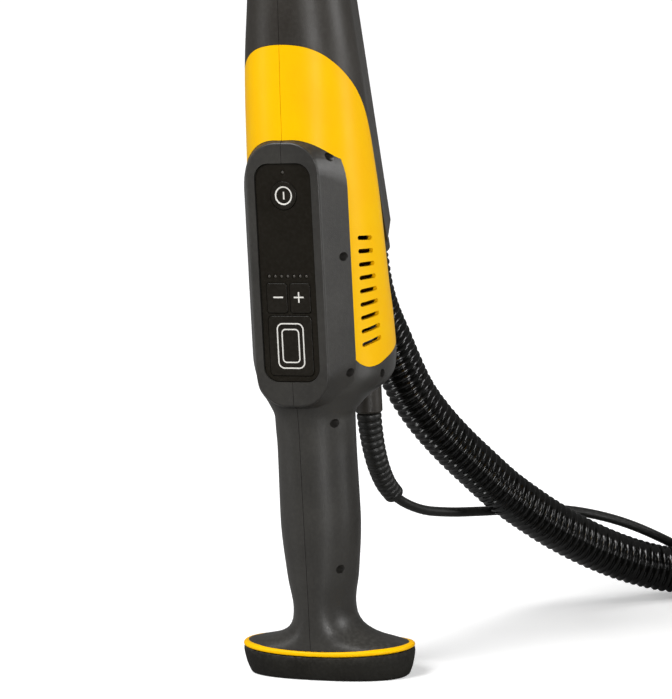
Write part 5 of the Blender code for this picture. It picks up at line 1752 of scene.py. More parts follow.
@dataclass(frozen=True)
class PanelSizes:
    """Raised frame, panel film, keys and lamps on the front."""

    frame_face: float = -0.0362
    frame_back: float = -0.0160
    frame_half_width: float = 0.0274
    frame_low: float = 0.1900
    frame_high: float = 0.3690
    frame_corner: float = 0.0230
    frame_draft: float = 0.61
    frame_edge: float = 0.0020
    corner_growth: tuple[float, float] = (1.4, 1.9)
    width: float = 0.0410
    height: float = 0.1470
    corner: float = 0.0100
    middle: float = 0.2809
    sunk: float = 0.0010
    thickness: float = 0.0024
    key_proud: float = 0.0004
    key_clearance: float = 0.0004
    key_travel: float = 0.0010
    contact_gap: float = 0.0001
    power_radius: float = 0.0095
    power_height: float = 0.3330
    speed_width: float = 0.0150
    speed_length: float = 0.0200
    speed_offset: float = 0.0086
    speed_height: float = 0.2640
    start_width: float = 0.0320
    start_length: float = 0.0405
    start_height: float = 0.23175
    lamp_count: int = 7
    lamp_pitch: float = 0.0046
    lamp_radius: float = 0.0011
    lamp_height: float = 0.2787
    status_height: float = 0.3485

    @property
    def face(self) -> float:
        """Place of the panel's front."""
        return self.frame_face + self.sunk

    @property
    def back(self) -> float:
        """Place of the panel's back."""
        return self.face + self.thickness

    @property
    def key_face(self) -> float:
        """Place of the keys' front."""
        return self.face - self.key_proud

    @property
    def ledge(self) -> float:
        """Place of the back of the seat behind the panel."""
        return self.back + GAP + WALL

    @property
    def contact(self) -> float:
        """Place of the switches behind the keys, just short of the board."""
        return self.ledge - self.contact_gap

    def frame(self, name: str, grow: float) -> Piece:
        """The drafted arch round the panel, grown by an amount.

        Args:
            name: Name of the solid.
            grow: How much it is grown all round.

        Returns:
            The solid.
        """
        middle = (0.0, (self.frame_low + self.frame_high) / 2)
        edge = self.frame_edge
        levels = [(self.frame_face - grow, -edge)]
        for k in range(1, 6):
            angle = pi / 2 * k / 5
            levels.append((self.frame_face + edge * (1 - cos(angle)), -edge * (1 - sin(angle))))
        slant = (self.frame_back - self.frame_face - edge) * self.frame_draft
        levels.append((self.frame_back + grow, slant))
        rows = []
        for depth, spread in levels:
            half_width = self.frame_half_width + spread + grow
            corner = (min(half_width - 0.0001, self.frame_corner + grow + spread * self.corner_growth[0]),
                      self.frame_corner + grow + spread * self.corner_growth[1])
            outline = arched(2 * half_width, self.frame_high - self.frame_low + 2 * (spread + grow), corner,
                             middle, 14)
            rows.append([(x, depth, z) for x, z in outline])
        return loft(name, rows)


@dataclass(frozen=True)
class CaseScrews:
    """Six cross-head screws that hold the right housing half to the left."""

    form: BodyForm
    places: Outline = (
        (-0.0235, 0.3575), (-0.0210, 0.2903), (-0.0195, 0.2118),
        (0.0115, 0.2070), (-0.0195, 0.1770), (-0.0185, 0.0766),
    )
    radius: float = 0.0015
    head_radius: float = 0.0027
    head_height: float = 0.0024
    sink: float = 0.0060
    reach: float = 0.0100
    boss_radius: float = 0.0046
    outside: float = 0.0700
    cross: tuple[float, float, float] = (0.0015, 0.00028, 0.0013)

    def seat(self, place: Sequence[float]) -> float:
        """How far from the joint plane a screw's head sits."""
        return max(self.form.surface_x(*place) - self.sink - self.head_height, 0.006)

    def holes(self, name: str, side: Side, places: Sequence[int]) -> Steps:
        """Cutters for the screw holes of one shell.

        Args:
            name: Name of the shell.
            side: Which half it is.
            places: Numbers of the screws it takes.

        Returns:
            Operations and cutters.
        """
        cuts = []
        for k in places:
            y, z = self.places[k]
            clearance = self.radius + GAP
            if side is Side.RIGHT:
                cuts.append(rod(f"{name}_hole_{k}", (-0.001, y, z), (self.outside, y, z), clearance, 20))
                seat = self.seat(self.places[k])
                cuts.append(rod(f"{name}_sink_{k}", (seat, y, z), (self.outside, y, z),
                                self.head_radius + GAP, 36))
            else:
                cuts.append(rod(f"{name}_pilot_{k}", (0.001, y, z), (-self.reach - 0.001, y, z), clearance,
                                20))
        return [(Step.CUT, cutter) for cutter in cuts]

    def build(self) -> None:
        """Makes the screws."""
        for k, place in enumerate(self.places):
            low = self.seat(place) + GAP
            top = low + self.head_height
            profile = [(0.0, top), (self.head_radius * 0.62, top), (self.head_radius * 0.90, top - 0.0004),
                       (self.head_radius, top - 0.0010), (self.head_radius, low), (self.radius, low),
                       (self.radius, -self.reach), (0.0, -self.reach)]
            screw = lathe(f"screw_{k + 1}", profile, Matrix.Identity(4), 40)
            turn = Matrix.Rotation(radians(17 + 31 * k), 4, "Z")
            arms = []
            for quarter in (0, 90):
                half, thin, deep = self.cross
                arm = block(f"arm_{k}_{quarter}", (-half, -thin, top - deep), (half, thin, top + 0.001))
                arm.data.transform(turn @ Matrix.Rotation(radians(quarter), 4, "Z"))
                arms.append((Step.CUT, arm))
            combined(screw, arms)
            place_matrix = set_at((0, *place), 90, "Y")
            screw.data.transform(place_matrix)
            fitted(screw, STEEL, "handle", (f"case_screw_{k + 1}",))


@dataclass(frozen=True)
class GripShells:
    """Grip, lower housing and panel frame in two mouldings."""

    form: BodyForm
    panel: PanelSizes
    screws: CaseScrews
    relief: StrainRelief
    top: float = 0.2500
    board_margin: float = 0.0040
    board_thickness: float = 0.0016

    def build(self) -> None:
        """Makes both mouldings."""
        for side in Side:
            name = f"grip_{side.word}"
            shell = self.form.half(name, side, self.form.sections[0][0], self.top)
            trimmed = combined(shell, [(Step.KEEP,
                                        self.form.region("grip_region", self.form.lower_line, False))])
            near, far = sorted((side.value * GAP / 2, side.value * 0.09))
            frame = combined(self.panel.frame("frame", 0.0),
                             [(Step.KEEP, block("frame_half", (near, -0.06, 0.10),
                                                                                 (far, 0.06, 0.45)))])
            steps: Steps = [(Step.ADD, frame), (Step.CUT, self.space())]
            steps += self.panel_cuts()
            steps += [(Step.CUT, rod("inlet_hole", (0, self.relief.inlet_place, 0.15),
                                         (0, self.relief.inlet_place, self.relief.inlet_high + PAST),
                                         self.relief.inlet_radius + GAP, 64))]
            steps += self.screws.holes(name, side, range(len(self.screws.places)))
            combined(trimmed, steps)
            soft_edges(trimmed, MOULD_EDGE)
            fitted(trimmed, GRIP_PLASTIC, "handle", (f"grip_shell_{side.word}",))

    def space(self) -> Piece:
        """The hollow of the grip and housing, less the screw bosses and the panel's seat.

        Returns:
            The cutter.
        """
        space = self.form.hollow("case_space", 0.0340, 0.4200)
        steps = []
        for k, (y, z) in enumerate(self.screws.places):
            steps.append((Step.CUT,
                          rod(f"boss_{k}", (-0.06, y, z), (0.06, y, z), self.screws.boss_radius, 24)))
        p = self.panel
        steps.append((Step.CUT, block(
            "panel_seat", (-p.width / 2 - WALL, p.frame_face, p.middle - p.height / 2 - WALL),
            (p.width / 2 + WALL, p.ledge, p.middle + p.height / 2 + WALL))))
        return combined(space, steps)

    def panel_cuts(self) -> Steps:
        """Cutters for the panel, its window and the board behind it.

        Returns:
            Operations and cutters.
        """
        p = self.panel
        front = p.ledge + GAP
        recess = rounded(p.width + 2 * GAP, p.height + 2 * GAP, p.corner + GAP, (0.0, p.middle), 12)
        window = rounded(p.width - 2 * WALL, p.height - 2 * WALL, p.corner / 2, (0.0, p.middle), 8)
        half_height = p.height / 2 - self.board_margin + GAP
        return [
            (Step.CUT, plate("panel_recess", recess, p.frame_face - 2 * SKIM, p.back + GAP)),
            (Step.CUT, plate("panel_window", window, p.frame_face - 2 * SKIM, front + 2 * SKIM)),
            (Step.CUT, block("board_pocket", (-p.width / 2, front - GAP, p.middle - half_height),
                                 (p.width / 2, front + self.board_thickness + GAP, p.middle + half_height))),
        ]


@dataclass(frozen=True)
class SideCovers:
    """Yellow side covers with their rows of vent slots."""

    form: BodyForm
    panel: PanelSizes
    low: float = 0.1900
    high: float = 0.4450
    slot_count: int = 9
    slot_pitch: float = 0.00905
    slot_thickness: float = 0.0030
    slot_first: float = 0.3012
    slot_start: float = -0.0075
    slot_lengths: tuple[float, float] = (0.0140, 0.0200)
    slot_tilts: tuple[float, float] = (-5.0, 10.0)

    def build(self) -> None:
        """Makes both covers."""
        for side in Side:
            name = f"cover_{side.word}"
            cover = self.form.half(name, side, self.low, self.high)
            steps = [
                (Step.KEEP, self.form.region("cover_below", self.form.upper_joint(), False)),
                (Step.KEEP, self.form.region("cover_above", self.form.lower_line, True)),
                (Step.CUT, self.form.hollow("cover_space", self.low - PAST, self.high + 2 * PAST)),
                (Step.CUT, self.panel.frame("cover_frame", GAP)),
            ]
            for index in range(self.slot_count):
                slot = plate(f"slot_{index}", self.slot(index), side.value * 0.030, side.value * 0.060,
                             Facing.SIDEWAYS)
                steps.append((Step.CUT, slot))
            combined(cover, steps)
            soft_edges(cover, MOULD_EDGE)
            fitted(cover, YELLOW_PLASTIC, "handle", (f"side_cover_{side.word}",))

    def slot(self, index: int) -> Outline:
        """One vent slot seen from the side.

        Args:
            index: Its number from the top.

        Returns:
            A bar with round ends, in Y and Z.
        """
        share = index / (self.slot_count - 1)
        length = self.slot_lengths[0] + (self.slot_lengths[1] - self.slot_lengths[0]) * share
        tilt = self.slot_tilts[0] + (self.slot_tilts[1] - self.slot_tilts[0]) * share
        radius = self.slot_thickness / 2
        start = Vector((self.slot_start + radius, self.slot_first - self.slot_pitch * index))
        along = Vector((cos(radians(tilt)), sin(radians(tilt))))
        end = start + along * (length - self.slot_thickness)
        return arc(end, radius, tilt - 90, tilt + 90, 8) + arc(start, radius, tilt + 90, tilt + 270, 8)


@dataclass(frozen=True)
class UpperShells:
    """Black upper housing, which also wraps the dust tube down the back."""

    form: BodyForm
    low: float = 0.2850
    neck_place: float = 0.0100
    neck_radius: float = 0.0220
    neck_low: float = 0.5120
    space_drop: float = 0.0260

    def build(self) -> None:
        """Makes both mouldings."""
        form = self.form
        for side in Side:
            name = f"upper_{side.word}"
            shell = form.half(name, side, self.low, form.top, spine=True)
            low = form.tube_matrix(-0.03) @ Vector((0, 0, 0))
            high = form.tube_matrix(0.21) @ Vector((0, 0, 0))
            combined(shell, [
                (Step.KEEP, form.region("upper_region", form.upper_joint(), True)),
                (Step.CUT, self.space()),
                (Step.CUT, rod("tube_bore", low, high, form.tube_radius + GAP, 72)),
                (Step.CUT, rod("neck_bore", (0, self.neck_place, self.neck_low - 0.004),
                                   (0, self.neck_place, form.top + PAST), self.neck_radius + GAP, 72)),
            ])
            soft_edges(shell, MOULD_EDGE)
            fitted(shell, BLACK_PLASTIC, "handle", (f"upper_shell_{side.word}",))

    def space(self) -> Piece:
        """The hollow of the upper housing, with a floor at its lower joint.

        Returns:
            The cutter.
        """
        form = self.form
        space = form.hollow("upper_space", self.low - PAST, form.top - self.space_drop, spine=True)
        lifted = [(y, z + WALL) for y, z in form.upper_joint()[-2:]]
        floor = [(-0.07, 0.28), (lifted[0][0] - 0.006, 0.28), (lifted[0][0] - 0.006, lifted[0][1]),
                 lifted[1], (lifted[1][0], 0.60), (-0.07, 0.60)]
        return combined(space, [(Step.KEEP, plate("upper_floor", floor, -SPAN, SPAN, Facing.SIDEWAYS))])


@dataclass(frozen=True)
class EndCap:
    """Rubber end cap with the yellow band above it."""

    form: BodyForm
    depth: float = 0.0612
    squareness: float = 2.35
    points_round: int = 120
    band_height: float = 0.0046
    band_steps: int = 6
    side: Outline = (
        (0.0, 0.0062), (0.0003, 0.0054), (0.0008, 0.0046), (0.0018, 0.0039), (0.0030, 0.0034),
        (0.0050, 0.0025), (0.0075, 0.0016), (0.0102, 0.0009), (0.0130, 0.0003), (0.0150, 0.0001),
    )

    def row(self, width: float, depth: float, height: float, sag: bool) -> list[Point]:
        """One level of the cap.

        Args:
            width: Its width.
            depth: Its depth.
            height: Its height.
            sag: Whether it rises towards the sides.

        Returns:
            The ring of points.
        """
        ring = []
        for k in range(self.points_round):
            angle = 2 * pi * k / self.points_round
            normal = Vector((cos(angle), sin(angle)))
            point = self.form.farthest(normal, width / 2, 0.0, depth / 2, self.squareness)
            ring.append((point.x, point.y, height + (self.form.sag(point.x, height) if sag else 0.0)))
        return ring

    def build(self) -> None:
        """Makes the cap and the band."""
        wide, high = self.form.cap_width, self.form.cap_height
        rows = [self.row(wide - 2 * inset, self.depth - 2 * inset, height, height > 0.0)
                for height, inset in self.side]
        rows.append(self.row(wide - 0.0006, self.depth - 0.0006, high - 0.0004, True))
        rows.append(self.row(wide - 0.0016, self.depth - 0.0016, high, True))
        fitted(loft("bumper", rows, strips=True), BUMPER_RUBBER, "handle", ("end_cap",))
        low = high + GAP
        top = low + self.band_height
        band = []
        for k in range(self.band_steps + 1):
            share = k / self.band_steps
            inset = 0.0018 * (2 * share - 1) ** 4 + 0.0010 * share ** 2
            band.append(self.row(wide + 0.0002 - 2 * inset, self.depth + 0.0004 - 2 * inset,
                                 low + (top - low) * share, True))
        fitted(loft("cap_band", band, strips=True), YELLOW_PLASTIC, "handle", ("end_band",))


# --- Control panel ---


@dataclass(frozen=True)
class ControlPanel:
    """Panel film, its keys with their printed signs, and the lamps."""

    sizes: PanelSizes
    flange: float = 0.0004
    flange_thickness: float = 0.0008
    stem_radius: float = 0.0020
    dish_radius: float = 0.0420
    dish_depth: float = 0.00085
    print_lift: float = 0.00006
    power_ring: tuple[float, float] = (0.0063, 0.0053)
    power_bar: tuple[float, float] = (0.0010, 0.0052)
    sign_size: float = 0.0072
    sign_thickness: float = 0.0010
    sign_shift: tuple[float, float] = (0.0010, 0.0006)
    start_line: float = 0.0009
    start_rings: tuple[tuple[str, float, float, float], ...] = (
        ("start_outer", 0.0200, 0.0310, 0.0045), ("start_inner", 0.0132, 0.0232, 0.0030))

    def key_outlines(self) -> dict[str, tuple[tuple[float, float], Callable[[float], Outline]]]:
        """Each key's middle and its outline grown by an amount.

        Returns:
            Middle and outline by key name.
        """
        p = self.sizes
        power = (0.0, p.power_height)
        start = (0.0, p.start_height)
        found = {
            "power_key": (power, lambda grow: arc(power, p.power_radius + grow, 0, 354, 59)),
            "start_key": (start, lambda grow: rounded(
                p.start_width + 2 * grow, p.start_length + 2 * grow, 0.0030 + grow, start, 8)),
        }
        for sign, name in ((-1, "minus_key"), (1, "plus_key")):
            spot = (sign * p.speed_offset, p.speed_height)
            found[name] = (spot, lambda grow, spot=spot: rounded(
                p.speed_width + 2 * grow, p.speed_length + 2 * grow, 0.0018 + grow, spot, 6))
        return found

    def lamp_spots(self) -> Outline:
        """Middle of each lamp, the status lamp last.

        Returns:
            Points in X and Z.
        """
        p = self.sizes
        row = [((k - (p.lamp_count - 1) / 2) * p.lamp_pitch, p.lamp_height) for k in range(p.lamp_count)]
        return [*row, (0.0, p.status_height)]

    def build(self) -> None:
        """Makes the panel, the keys, their signs and the lamps."""
        self.build_film()
        for name, (middle, outline) in self.key_outlines().items():
            self.build_key(name, middle, outline)
        self.build_lamps()
        self.print_power_sign()
        self.print_speed_signs()
        self.print_start_sign()

    def build_film(self) -> None:
        """Makes the panel with its openings."""
        p = self.sizes
        panel = cushioned_plate("panel", lambda grow: rounded(
            p.width + 2 * grow, p.height + 2 * grow, p.corner + grow, (0.0, p.middle), 12), p.face, p.back,
            0.0006)
        cuts = []
        for name, (_, outline) in self.key_outlines().items():
            cuts.append((Step.CUT, plate(f"{name}_opening", outline(p.key_clearance), p.face - SKIM,
                                             p.back + SKIM)))
        for k, (x, z) in enumerate(self.lamp_spots()):
            cuts.append((Step.CUT, rod(f"lamp_hole_{k}", (x, p.face - SKIM, z), (x, p.back + SKIM, z),
                                           p.lamp_radius + GAP, 28)))
        combined(panel, cuts)
        soft_edges(panel, 0.00025)
        fitted(panel, PANEL_FILM, "handle", ("control_panel",), sharp=FILM_SHARP)

    def build_key(self, name: str, middle: Sequence[float], outline: Callable[[float], Outline]) -> None:
        """Makes one key with its flange and its stem.

        Args:
            name: Name of the key.
            middle: Its middle in X and Z.
            outline: Its outline grown by an amount.
        """
        p = self.sizes
        near = p.key_face
        far = p.back + GAP + self.flange_thickness
        key = cushioned_plate(f"{name}_cap", outline, near, far, 0.0004)
        if name == "power_key":
            self.dish(key, middle, near)
        rim = plate("flange", outline(p.key_clearance + self.flange), p.back + GAP, far + 0.0001)
        x, z = middle
        stem = rod("stem", (x, p.back, z), (x, p.contact - p.key_travel, z), self.stem_radius, 24)
        combined(key, [(Step.ADD, rim), (Step.ADD, stem)])
        fitted(key, KEY_FILM, name, (name,), sharp=FILM_SHARP)

    def dish(self, key: Piece, middle: Sequence[float], near: float) -> None:
        """Sinks a shallow dish for the fingertip into the power key.

        Args:
            key: The key.
            middle: Its middle in X and Z.
            near: Place of its front face.
        """
        ball = self.dish_radius
        profile = [(0.0, 0.0), *arc((0.0, 0.0), ball, -90, -72, 12)[::-1]]
        place = set_at((middle[0], near + self.dish_depth - ball, middle[1]), 90, "X")
        bowl = lathe("bowl", profile, place, 72)
        combined(key, [(Step.CUT, bowl)])

    def build_lamps(self) -> None:
        """Makes the speed lamps on their light guide, and the status lamp."""
        p = self.sizes
        back, deep = p.back + GAP, p.contact
        guide = block("speed_lamp_row", (-p.lamp_pitch * p.lamp_count / 2, back, p.lamp_height - 0.0018),
                      (p.lamp_pitch * p.lamp_count / 2, deep, p.lamp_height + 0.0018))
        lenses = []
        for k, (x, z) in enumerate(self.lamp_spots()):
            rounded_end = [(0.0, -0.0002), (p.lamp_radius * 0.5, -0.00012), (p.lamp_radius * 0.86, 0.0001),
                           (p.lamp_radius, 0.0005), (p.lamp_radius, p.thickness), (0.0, p.thickness)]
            place = set_at((x, p.face + GAP, z), -90, "X")
            lens = lathe(f"lens_{k}", rounded_end, place, 28)
            lenses.append(lens)
        status = lenses.pop()
        combined(guide, [(Step.ADD, lens) for lens in lenses])
        fitted(guide, LAMP_LENS, "handle", ("speed_lamps",))
        status.name = "status_lens"
        fitted(status, LAMP_LENS, "handle", ("status_lamp",))

    def inked(self, piece: Piece, body: str) -> None:
        """Prints a sign on a key."""
        fitted(piece, PRINT, body)

    def print_power_sign(self) -> None:
        """Prints the ring with its upright bar."""
        p = self.sizes
        middle = (0.0, p.power_height)
        self.inked(self.dished_band("power_ring", middle, *self.power_ring), "power_key")
        self.inked(self.dished_bar("power_bar", middle, *self.power_bar), "power_key")

    def dished(self, x: float, z: float) -> float:
        """Place of the power key's dished surface at a point."""
        ball = self.dish_radius
        return self.sizes.key_face + max(0.0, self.dish_depth - ball + sqrt(ball ** 2 - x ** 2 - z ** 2))

    def dished_band(self, name: str, middle: Sequence[float], outer: float, inner: float) -> Piece:
        """A ring of ink that follows the dish.

        Args:
            name: Name of the piece.
            middle: Its middle in X and Z.
            outer: Outer radius.
            inner: Inner radius.

        Returns:
            The ring.
        """
        points: list[Point] = []
        for radius, lift in ((outer, 1), (inner, 1), (inner, -1), (outer, -1)):
            for k in range(72):
                angle = 2 * pi * k / 72
                x, z = radius * cos(angle), radius * sin(angle)
                points.append((middle[0] + x, self.dished(x, z) - lift * self.print_lift, middle[1] + z))
        return closed_band(name, points)

    def dished_bar(self, name: str, middle: Sequence[float], width: float, height: float) -> Piece:
        """An upright bar of ink that follows the dish.

        Args:
            name: Name of the piece.
            middle: Its middle in X and Z.
            width: Its width.
            height: Its height.

        Returns:
            The bar.
        """
        rows = []
        for k in range(9):
            z = -height / 2 + height * k / 8
            row = []
            for x, lift in ((-width / 2, 1), (width / 2, 1), (width / 2, -1), (-width / 2, -1)):
                row.append((middle[0] + x, self.dished(x, z) - lift * self.print_lift, middle[1] + z))
            rows.append(row)
        return loft(name, rows)

    def flat_print(self, name: str, outline: Outline) -> Piece:
        """A flat printed shape on the keys' front."""
        near = self.sizes.key_face
        return plate(name, outline, near - self.print_lift, near + self.print_lift)

    def print_speed_signs(self) -> None:
        """Prints minus and plus."""
        p = self.sizes
        arm, thick = self.sign_size, self.sign_thickness
        inwards, up = self.sign_shift
        left = (-p.speed_offset + inwards, p.speed_height + up)
        right = (p.speed_offset - inwards, p.speed_height + up)
        self.inked(self.flat_print("minus_sign", rounded(arm, thick, 0.0002, left, 3)), "minus_key")
        cross = []
        half, edge = arm / 2, thick / 2
        for x, z in ((half, -edge), (half, edge), (edge, edge), (edge, half), (-edge, half), (-edge, edge),
                     (-half, edge), (-half, -edge), (-edge, -edge), (-edge, -half), (edge, -half),
                     (edge, -edge)):
            cross.append((right[0] + x, right[1] + z))
        self.inked(self.flat_print("plus_sign", cross), "plus_key")

    def print_start_sign(self) -> None:
        """Prints the start key's double rounded rectangle."""
        p = self.sizes
        near, line = p.key_face, self.start_line
        middle = (0.0, p.start_height)
        for name, width, height, corner in self.start_rings:
            outer = rounded(width, height, corner, middle, 8)
            inner = rounded(width - 2 * line, height - 2 * line, corner - line, middle, 8)
            ring = band_plate(name, outer, inner, near - self.print_lift, near + self.print_lift)
            self.inked(ring, "start_key")


# --- Dust outlet, neck, yoke and head ---


@dataclass(frozen=True)
class DustOutlet:
    """Swivel cuff under the dust tube."""

    form: BodyForm
    wall: float = 0.0022
    cuff_radius: float = 0.0184
    cuff_length: float = 0.0165
    standoff: float = 0.0040
    neck_radius: float = 0.0145
    neck_length: float = 0.0040
    spigot: float = 0.0160
    running_clearance: float = 0.0004

    def build(self) -> None:
        """Makes the swivel cuff."""
        spigot = self.form.tube_radius - self.wall - self.running_clearance
        low = -self.standoff - self.cuff_length
        bore = self.neck_radius - self.wall
        outer = self.cuff_radius + 0.0004
        profile = [(spigot, self.spigot), (spigot, -self.standoff),
                   (self.cuff_radius - 0.0006, -self.standoff),
                   (outer - 0.0004, -self.standoff - 0.0004), (outer, -self.standoff - 0.0012)]
        groove = -self.standoff - self.cuff_length / 2
        profile += [(outer, groove + 0.0012), (outer - 0.0007, groove + 0.0006),
                    (outer - 0.0007, groove - 0.0006),
                    (outer, groove - 0.0012), (outer, low + 0.0012), (outer - 0.0004, low + 0.0004),
                    (outer - 0.0014, low), (self.neck_radius, low),
                    (self.neck_radius, low - self.neck_length),
                    (bore, low - self.neck_length), (bore, self.spigot), (spigot, self.spigot)]
        cuff = lathe("swivel", profile, self.form.tube_matrix(), 96)
        fitted(cuff, BLACK_PLASTIC, "swivel", ("hose_swivel",))


@dataclass(frozen=True)
class Neck:
    """Collar, long aluminium tube and the clevis block at its top."""

    place: float = 0.0100
    radius: float = 0.0220
    wall: float = 0.0025
    low: float = 0.5120
    high: float = 0.9050
    housing_top: float = 0.5750
    collar_radius: float = 0.0272
    collar_height: float = 0.0240
    clevis_height: float = 0.9300
    clevis_radius: float = 0.0180
    lug: float = 0.0100
    cap: float = 0.0055
    plug_depth: float = 0.0250
    pin_radius: float = 0.0040

    def build(self) -> None:
        """Makes the neck's three pieces."""
        middle = Matrix.Translation((0, self.place, 0))
        low = self.housing_top + GAP
        high = low + self.collar_height
        bore = self.radius + GAP
        wide = self.collar_radius
        profile = [(bore, high - 0.0006), (bore + 0.0006, high), (wide - 0.0040, high),
                   (wide - 0.0022, high - 0.0006),
                   (wide - 0.0008, high - 0.0018), (wide, high - 0.0040)]
        for k in range(3):
            top = high - 0.0062 - 0.0042 * k
            profile += [(wide, top), (wide - 0.0008, top - 0.0006), (wide - 0.0008, top - 0.0018),
                        (wide, top - 0.0024)]
        profile += [(wide, low + 0.0006), (wide - 0.0006, low), (bore, low), (bore, high - 0.0006)]
        fitted(lathe("collar", profile, middle, 96), BLACK_PLASTIC, "handle",
               ("neck_collar",))
        inner = self.radius - self.wall
        profile = [(self.radius - 0.0005, self.high), (self.radius, self.high - 0.0005),
                   (self.radius, self.low),
                   (inner, self.low), (inner, self.high), (self.radius - 0.0005, self.high)]
        fitted(lathe("neck", profile, middle, 96), ALUMINIUM, "handle", ("neck_tube",))
        self.build_clevis(middle, inner)

    def build_clevis(self, middle: Matrix, inner: float) -> None:
        """Makes the clevis block.

        Args:
            middle: The neck's axis.
            inner: The tube's inner radius.
        """
        plug = inner - GAP
        low = self.high + GAP
        high = low + self.cap
        wide = self.radius + 0.0015
        profile = [(0.0, high), (self.radius - 0.0012, high), (self.radius, high - 0.0005),
                   (wide - 0.0004, low + 0.0026), (wide, low + 0.0018), (wide, low + 0.0005),
                   (wide - 0.0005, low),
                   (plug, low), (plug, self.high - self.plug_depth), (0.0, self.high - self.plug_depth)]
        cap = lathe("clevis", profile, middle, 96)
        outline = arc((0.0, self.clevis_height), self.clevis_radius - GAP, 0, 180, 40)
        outline += [(-self.clevis_radius + GAP, high - 0.002), (self.clevis_radius - GAP, high - 0.002)]
        near, far = self.place - self.lug / 2, self.place + self.lug / 2
        combined(cap, [
            (Step.ADD, plate("lug", outline, near, far)),
            (Step.CUT, rod("bore", (0, near - PAST, self.clevis_height),
                               (0, far + PAST, self.clevis_height),
                               self.pin_radius + GAP, 48)),
        ])
        soft_edges(cap, 0.0007)
        fitted(cap, CAST_GREY, "handle", ("clevis_block",))


@dataclass(frozen=True)
class Yoke:
    """Fork that rolls on the clevis and holds the head between its arms."""

    neck: Neck
    pivot_height: float = 1.0600
    inner_radius: float = 0.0580
    arm: float = 0.0160
    depth: float = 0.0270
    drop: float = 0.0140
    rise: float = 0.0060
    edge: float = 0.0018
    bolt_radius: float = 0.0050
    bolt_head: float = 0.0090
    head_height: float = 0.0030
    pin_head: float = 0.0065
    motor_radius: float = 0.0500

    def at_pivot(self, x: float = 0.0, y: float = 0.0, z: float = 0.0) -> Vector:
        """A place given from the head's tilt pivot."""
        return Vector((x, self.neck.place + y, self.pivot_height + z))

    def outline(self) -> Outline:
        """The fork seen from the front.

        Returns:
            Its outline in X and Z.
        """
        outer = self.inner_radius + self.arm
        arm = self.inner_radius + self.arm / 2
        foot = self.neck.clevis_height - self.pivot_height
        turn_in = degrees(asin(self.neck.clevis_radius / outer))
        bend = (0.0, -self.drop)
        points = arc((arm, self.rise), self.arm / 2, 0, 180, 20)
        points += arc(bend, self.inner_radius, 0, -180, 64)
        points += arc((-arm, self.rise), self.arm / 2, 0, 180, 20)
        points += arc(bend, outer, 180, 270 - turn_in, 28)
        points += arc((0.0, foot), self.neck.clevis_radius, 180, 360, 32)
        points += arc(bend, outer, 270 + turn_in, 360, 28)
        return [(x, self.pivot_height + z) for x, z in points]

    def build(self) -> None:
        """Makes the fork, the roll pin and the tilt bolts."""
        self.build_fork()
        self.build_pin()
        for side in Side:
            self.build_bolt(side)

    def build_fork(self) -> None:
        """Makes the fork with its slot, bores and lightening pockets."""
        place, foot = self.neck.place, self.neck.clevis_height
        near, far = place - self.depth / 2, place + self.depth / 2
        fork = plate("fork", self.outline(), near, far)
        slot = self.neck.lug / 2 + GAP
        cuts = [
            block("slot", (-0.04, place - slot, foot - 0.03),
                  (0.04, place + slot, foot + self.neck.clevis_radius + 0.0015)),
            rod("roll_bore", (0, near - PAST, foot), (0, far + PAST, foot), self.neck.pin_radius + GAP, 48),
            rod("tilt_bore", self.at_pivot(-0.1), self.at_pivot(0.1), self.bolt_radius + GAP, 48),
        ]
        cuts += self.pockets(near, far)
        combined(fork, [(Step.CUT, cutter) for cutter in cuts])
        soft_edges(fork, self.edge, 3, 50.0)
        fitted(fork, BLACK_PLASTIC, "yoke", ("yoke",))

    def pockets(self, near: float, far: float) -> list[Piece]:
        """Shallow pockets that leave a rim round each arm's face.

        Args:
            near: Place of the front face.
            far: Place of the back face.

        Returns:
            The cutters.
        """
        inner, outer = self.inner_radius + 0.0048, self.inner_radius + self.arm - 0.0048
        bend = (0.0, self.pivot_height - self.drop)
        cuts = []
        for start, end in ((195, 246), (294, 345)):
            outline = arc(bend, outer, start, end, 24) + arc(bend, inner, end, start, 24)
            cuts.append(plate("pocket_front", outline, near - 0.001, near + 0.0025))
            cuts.append(plate("pocket_back", outline, far - 0.0025, far + 0.001))
        return cuts

    def build_pin(self) -> None:
        """Makes the roll pin with its domed heads."""
        reach = self.depth / 2 + GAP
        head = self.head_height
        wide, thin = self.pin_head, self.neck.pin_radius
        profile = [(0.0, reach + head), (wide * 0.6, reach + head), (wide * 0.9, reach + head * 0.75),
                   (wide, reach + head * 0.4), (wide, reach), (thin, reach), (thin, -reach), (wide, -reach),
                   (wide, -reach - head * 0.4), (wide * 0.9, -reach - head * 0.75),
                   (wide * 0.6, -reach - head),
                   (0.0, -reach - head)]
        place = set_at((0, self.neck.place, self.neck.clevis_height), 90, "X")
        fitted(lathe("pin", profile, place, 64), STEEL, "handle", ("roll_pin",))

    def build_bolt(self, side: Side) -> None:
        """Makes one tilt bolt with a hexagon socket.

        Args:
            side: Which one.
        """
        outside = self.inner_radius + self.arm + GAP
        head = self.head_height
        profile = [(0.0, outside + head), (self.bolt_head * 0.80, outside + head),
                   (self.bolt_head * 0.93, outside + head * 0.85), (self.bolt_head, outside + head * 0.5),
                   (self.bolt_head, outside), (self.bolt_radius, outside),
                   (self.bolt_radius, self.motor_radius),
                   (0.0, self.motor_radius)]
        bolt = lathe(f"bolt_{side.word}", profile, Matrix.Identity(4), 64)
        socket = rod("socket", (0, 0, outside + head - 0.0022), (0, 0, outside + head + 0.002), 0.0036, 6)
        combined(bolt, [(Step.CUT, socket)])
        turn = Matrix.Rotation(radians(side.value * 90), 4, "Y")
        bolt.data.transform(Matrix.Translation(self.at_pivot()) @ turn)
        fitted(bolt, STEEL, "head", (f"tilt_bolt_{side.word}",))


